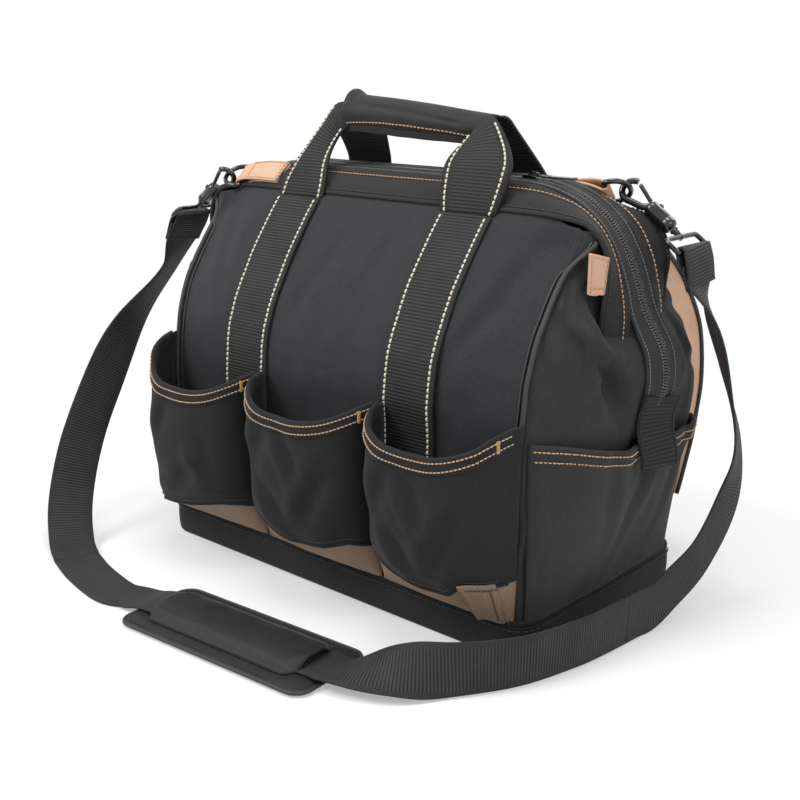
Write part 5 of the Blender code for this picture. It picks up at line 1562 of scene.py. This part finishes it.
def makeStrapEnd(sideName, side, tail):
    # a closed loop of webbing round the bar, with its end sewn down
    bar = buckleBar(side)
    level = Vector((0, 1, 0))
    wrap = chain["buckle"] + loop["spare"] * mm
    half = loop["half"] * mm
    down = Vector(tail) - bar
    down = (down - level * down.y * 0.5).normalized()
    aside = level.cross(down).normalized()
    line = [bar + down * mix(loop["long"], loop["close"], s) * mm + aside * mix(half, wrap, smooth(s))
            for s in steps(10)]
    line += [bar + (aside * math.cos(math.pi * s) - down * math.sin(math.pi * s)) * wrap for s in steps(10)[1:-1]]
    line += [bar + down * mix(loop["close"], loop["long"], s) * mm - aside * mix(half, wrap, smooth(1 - s))
             for s in steps(10)]
    bandPiece(sideName + "StrapLoop", line, level, strap["wide"], strap["thick"], "strap", sideName + "_buckle")
    # a box of stitches, a distance down from the bar and to each side
    face = facing(aside, Vector((side, 0, 0)))
    y = loop["seamY"]
    box = [[(reach, across) for across in (-y, 0, y)] for reach in loop["seams"][::2]]
    box += [[(reach, across) for reach in loop["seams"]] for across in (-y, y)]
    rows = [[bar + (down * reach + level * across + face * loop["lift"]) * mm for reach, across in row]
            for row in box]
    stitchPiece(sideName + "LoopStitches", rows, "black", sideName + "_buckle", lambda v: face, "loop")
    return down


def makeStrap():
    values = {"first": (9 * mm, 20 * mm), "floor": 1.4 * mm, "over": 1.6 * mm}
    for sideName, side, route in (("left", -1, leftRoute), ("right", 1, rightRoute[::-1])):
        gate = ("bag", "front_gate" if side < 0 else "back_gate", (0, 0, 0.05), (0, 0, 0.27))
        bar = buckleBar(side)
        down = makeStrapEnd(sideName, side, route[0][0])
        start = [(bar + down * reach, Vector((0, -side, 0))) for reach in values["first"]]
        routeBand(sideName + "Strap", start + route, gate, (sideName + "_strap",))
    on = strap["padHigh"] + values["over"]
    half = strap["pad"][0] / 2
    rim = strap["padCorner"]
    # it climbs the pad's end, runs level through the sleeve and leaves a little higher
    climb = ((-24 * mm, 0.0), (-12 * mm, 0.26), (-2 * mm, 0.70), (10 * mm, 1.0), (36 * mm, 1.0))
    level = ((0, 0), (half / 2, 0), (half - rim, ease), (half + rim / 2, 4 * ease))
    over = [(padPlace(reach - half, 0, mix(values["floor"], on, share)), (0, 1, 0)) for reach, share in climb]
    over += [(padPlace(reach, 0, on + rise), (-0.07, 1, 0)) for reach, rise in level]
    routeBand("floorStrap", floorRoute + over + edgeRoute, "bag", ("floor_strap",))
    print("strap made")


def makePad():
    # a foam pad: flat under, crowned above, its rim bound
    length, wide = strap["pad"]
    outline = [place for place, way in roundedRectangle(length / 2, wide / 2, strap["padCorner"], 6 * mm)]
    # its section: how far out, as a share of its half width, and the height in mm
    profile = ((0.0, 0.3), (0.60, 0.3), (0.93, 0.2), (0.985, 0.8), (1.0, 2.4), (0.99, 3.6), (0.965, 4.2), (0.93, 4.6),
               (0.88, 5.2), (0.78, 5.9), (0.6, 6.0), (0.3, 6.0), (0.0, 6.0))
    grid = []
    for share, z in profile:
        row = []
        for spot in outline:
            # the rim's distance stays the same on every side
            reach = (1 - share) * wide / 2
            x = spot.x - math.copysign(min(abs(spot.x), reach), spot.x)
            y = spot.y * share
            lump = ripple((x, y, 1.0), 34.0, 3.0) * 0.7 if 0.5 < share < 0.97 and z > 4 else 0.0
            row.append(padPlace(x, y, (z + lump) * mm))
        grid.append(row)
    build = bmesh.new()
    gridMesh(build, grid)
    bmesh.ops.remove_doubles(build, verts=build.verts, dist=0.02 * mm)
    piece = finishPiece("padBody", build, "pad", "bag", ("strap_pad",))
    binding = [padPlace(spot.x, spot.y, 2.9 * mm) for spot in outline[:-1]]
    rodPiece("padBinding", binding, 1.5 * mm, "piping", "bag", sides=10, closed=True)
    row = [padPlace(spot.x * 0.965, spot.y * 0.92, 4.9 * mm) for spot in outline]
    stitchPiece("padStitches", [row], "black", "bag", lambda v: Vector((0, 0, 1)), "pad")
    makeSleeve()
    print("pad made")


def sleevePlace(u, v, z):
    # a place on the sleeve; its ends draw in
    length, wide = strap["sleeve"]
    half = wide / 2 * (1 - 0.30 * smooth((abs(u) - 0.86) / 0.14) ** 2)
    return padPlace(u * length / 2, v * half, z * mm)


def makeSleeve():
    # the raised sleeve that the webbing runs through
    grid = []
    for s in steps(48):
        u = mix(-1, 1, s)
        row = []
        for t in steps(20):
            v = mix(-1, 1, t)
            crown = 1 - abs(v) ** 3.2
            z = 6.4 + 8.6 * crown + ripple((u * 0.1, v * 0.03, 4.0), 34.0, 9.0) * 0.9 * crown
            row.append(sleevePlace(u, v, z - 1.3 * math.exp(-((abs(v) - 0.80) / 0.05) ** 2)))
        grid.append(row)
    piece = gridPiece("padSleeve", grid, "pad", "bag", ("pad_sleeve",), 1.3 * mm,
                      lambda v: Vector((0, 0, -1)))
    rows = [[sleevePlace(mix(-0.96, 0.96, s), v, 9.2) for s in steps(40)] for v in (-0.80, 0.80)]
    stitchPiece("sleeveStitches", rows, "black", "bag", lambda v: Vector((0, 0, 1)), "pad")


def makeSideTab():
    # the folded pale tab on the right end's front corner: depth, and at its foot and its top the heights and the
    # distances out, each from its front edge to its back one in mm
    values = {"y": (-51, -37), "foot": (258, 256), "top": (286, 282), "footOut": (201, 205.5), "topOut": (201, 208),
              "thick": 1.8 * mm, "torn": 1.6, "crown": 1.2, "lift": 0.5 * mm}
    grid = []
    for s in steps(12):
        row = []
        for t in steps(10):
            y = mix(*values["y"], t) * mm
            z = mix(mix(*values["foot"], t), mix(*values["top"], t), s)
            x = mix(mix(*values["footOut"], t), mix(*values["topOut"], t), s) + values["crown"] * math.sin(math.pi * t)
            z += ripple((y * 3, 0, 1), 90.0, 2.0) * values["torn"] * (1 - s) ** 3
            row.append(Vector((x * mm, y, z * mm)))
        grid.append(row)
    clothPiece("sideTab", grid, "leather", frontGate, ("side_tab",), values["thick"],
               lambda v: Vector((-1, 0, 0)))
    lift = Vector((values["lift"], 0, 0))
    rows = [[grid[i][j] + lift for i in range(1, 12)] for j in (1, 9)]
    rows += [[grid[i][j] + lift for j in range(1, 10)] for i in (2, 11)]
    stitchPiece("sideTabStitches", rows, "tan", frontGate, lambda v: Vector((1, -0.3, 0)), "small")
    print("side tab made")


# floor, light and camera
# the floor's size and its grey near the bag, how far out it turns white, and the backdrop's light
stage = {"floor": 14.0, "grey": 0.86, "shade": 0.35, "near": 0.06, "far": 0.75, "world": 0.42}
# each lamp's place, size and power
lamps = {"keyLamp": ((-0.9, -1.5, 1.9), 1.1, 36), "fillLamp": ((1.9, -0.6, 1.2), 1.2, 13),
         "backLamp": ((0.4, 1.6, 1.8), 1.0, 14), "topLamp": ((0.1, -0.1, 2.2), 0.8, 18)}


def straightRays(nodes):
    # 1 where the camera looks at it, straight or in a mirror
    seen, glossy = [nodes.node("ShaderNodeLightPath", output=k) for k in (0, 3)]
    return seen.greater(glossy)


def makeFloor():
    grey = stage["grey"]
    floor = Finish("floor", 0.9, Specular_IOR_Level=0.1, Base_Color=(grey, grey, grey, 1))
    # away from the bag the floor is as white as the backdrop, so there is no horizon
    place = floor.place()
    x, y = [floor.node("ShaderNodeSeparateXYZ", inputs={0: place}, output=k) for k in (0, 1)]
    far = floor.node("ShaderNodeMapRange", {"interpolation_type": "SMOOTHSTEP"},
                     {0: x * x + y * y, 1: stage["near"], 2: stage["far"], 3: stage["shade"], 4: 1.0})
    glow = floor.node("ShaderNodeEmission", None, {"Color": (1, 1, 1, 1), "Strength": 1.0})
    both = floor.node("ShaderNodeMixShader", None, {0: straightRays(floor) * far,
                                                    1: Wire(floor, floor.shader.outputs[0]), 2: glow})
    floor.feed(floor.tree.nodes["Material Output"].inputs["Surface"], both)
    mesh = bpy.data.meshes.new("floor")
    size = stage["floor"]
    mesh.from_pydata([(-size, -size, 0), (size, -size, 0), (size, size, 0), (-size, size, 0)], [], [(0, 1, 2, 3)])
    ground = bpy.data.objects.new("floor", mesh)
    mesh.materials.append(floor.material)
    scene.collection.objects.link(ground)


def makeWorld():
    world = bpy.data.worlds.new("studio")
    scene.world = world
    world.use_nodes = True
    sky = Nodes(world.node_tree)
    back = sky.tree.nodes["Background"]
    sky.feed(back.inputs["Color"], (1, 1, 1, 1))
    sky.feed(back.inputs["Strength"], sky.node("ShaderNodeMapRange", None, {
        "Value": straightRays(sky), "To Min": stage["world"], "To Max": 1.0}))


def makeLamp(name, place, size, power):
    data = bpy.data.lights.new(name, "AREA")
    data.size = size
    data.energy = power
    lamp = bpy.data.objects.new(name, data)
    lamp.location = place
    lamp.rotation_euler = (Vector((0, 0, 0.15)) - Vector(place)).to_track_quat("-Z", "Y").to_euler()
    scene.collection.objects.link(lamp)


def makeStage():
    makeFloor()
    makeWorld()
    for name, values in lamps.items():
        makeLamp(name, *values)
    scene.view_settings.view_transform = "Standard"
    print("stage made")


def makeCamera():
    values = {"focal": 1192.36, "frame": 800, "turn": 41.73, "rise": 15.99, "away": 1004.38 * mm,
              "target": (-12.71 * mm, 0, 133.32 * mm)}
    data = bpy.data.cameras.new("camera")
    data.sensor_width = 36
    data.lens = values["focal"] / values["frame"] * 36
    data.clip_start = 0.01
    turn, rise = math.radians(values["turn"]), math.radians(values["rise"])
    back = Vector((math.sin(turn) * math.cos(rise), -math.cos(turn) * math.cos(rise), math.sin(rise)))
    camera = bpy.data.objects.new("camera", data)
    camera.location = Vector(values["target"]) + back * values["away"]
    camera.rotation_euler = (-back).to_track_quat("-Z", "Y").to_euler()
    scene.collection.objects.link(camera)
    scene.camera = camera


def dressSteel():
    # what stays from the solid model gets its finish
    for node, look in (("front_frame", "steel"), ("back_frame", "steel"), ("left_frame_pivot", "steel"),
                       ("right_frame_pivot", "steel"), ("base_board", "board")):
        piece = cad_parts[node]
        piece = piece if hasattr(piece, "material_slots") else bpy.data.objects[node]
        for slot in piece.material_slots:
            slot.material = looks[look]


makeCamera()
makeStage()
dressSteel()
makeBoot()
makeWalls()
makeEnds()
makePiping()
makeWebbing()
makeBands()
makeZip()
makeSlider()
makeZipTabs()
makeHandles()
makeGrip()
makeFrontPockets()
makeEndPockets()
makeBackPocket()
makeRings()
makeStrap()
makePad()
makeSideTab()
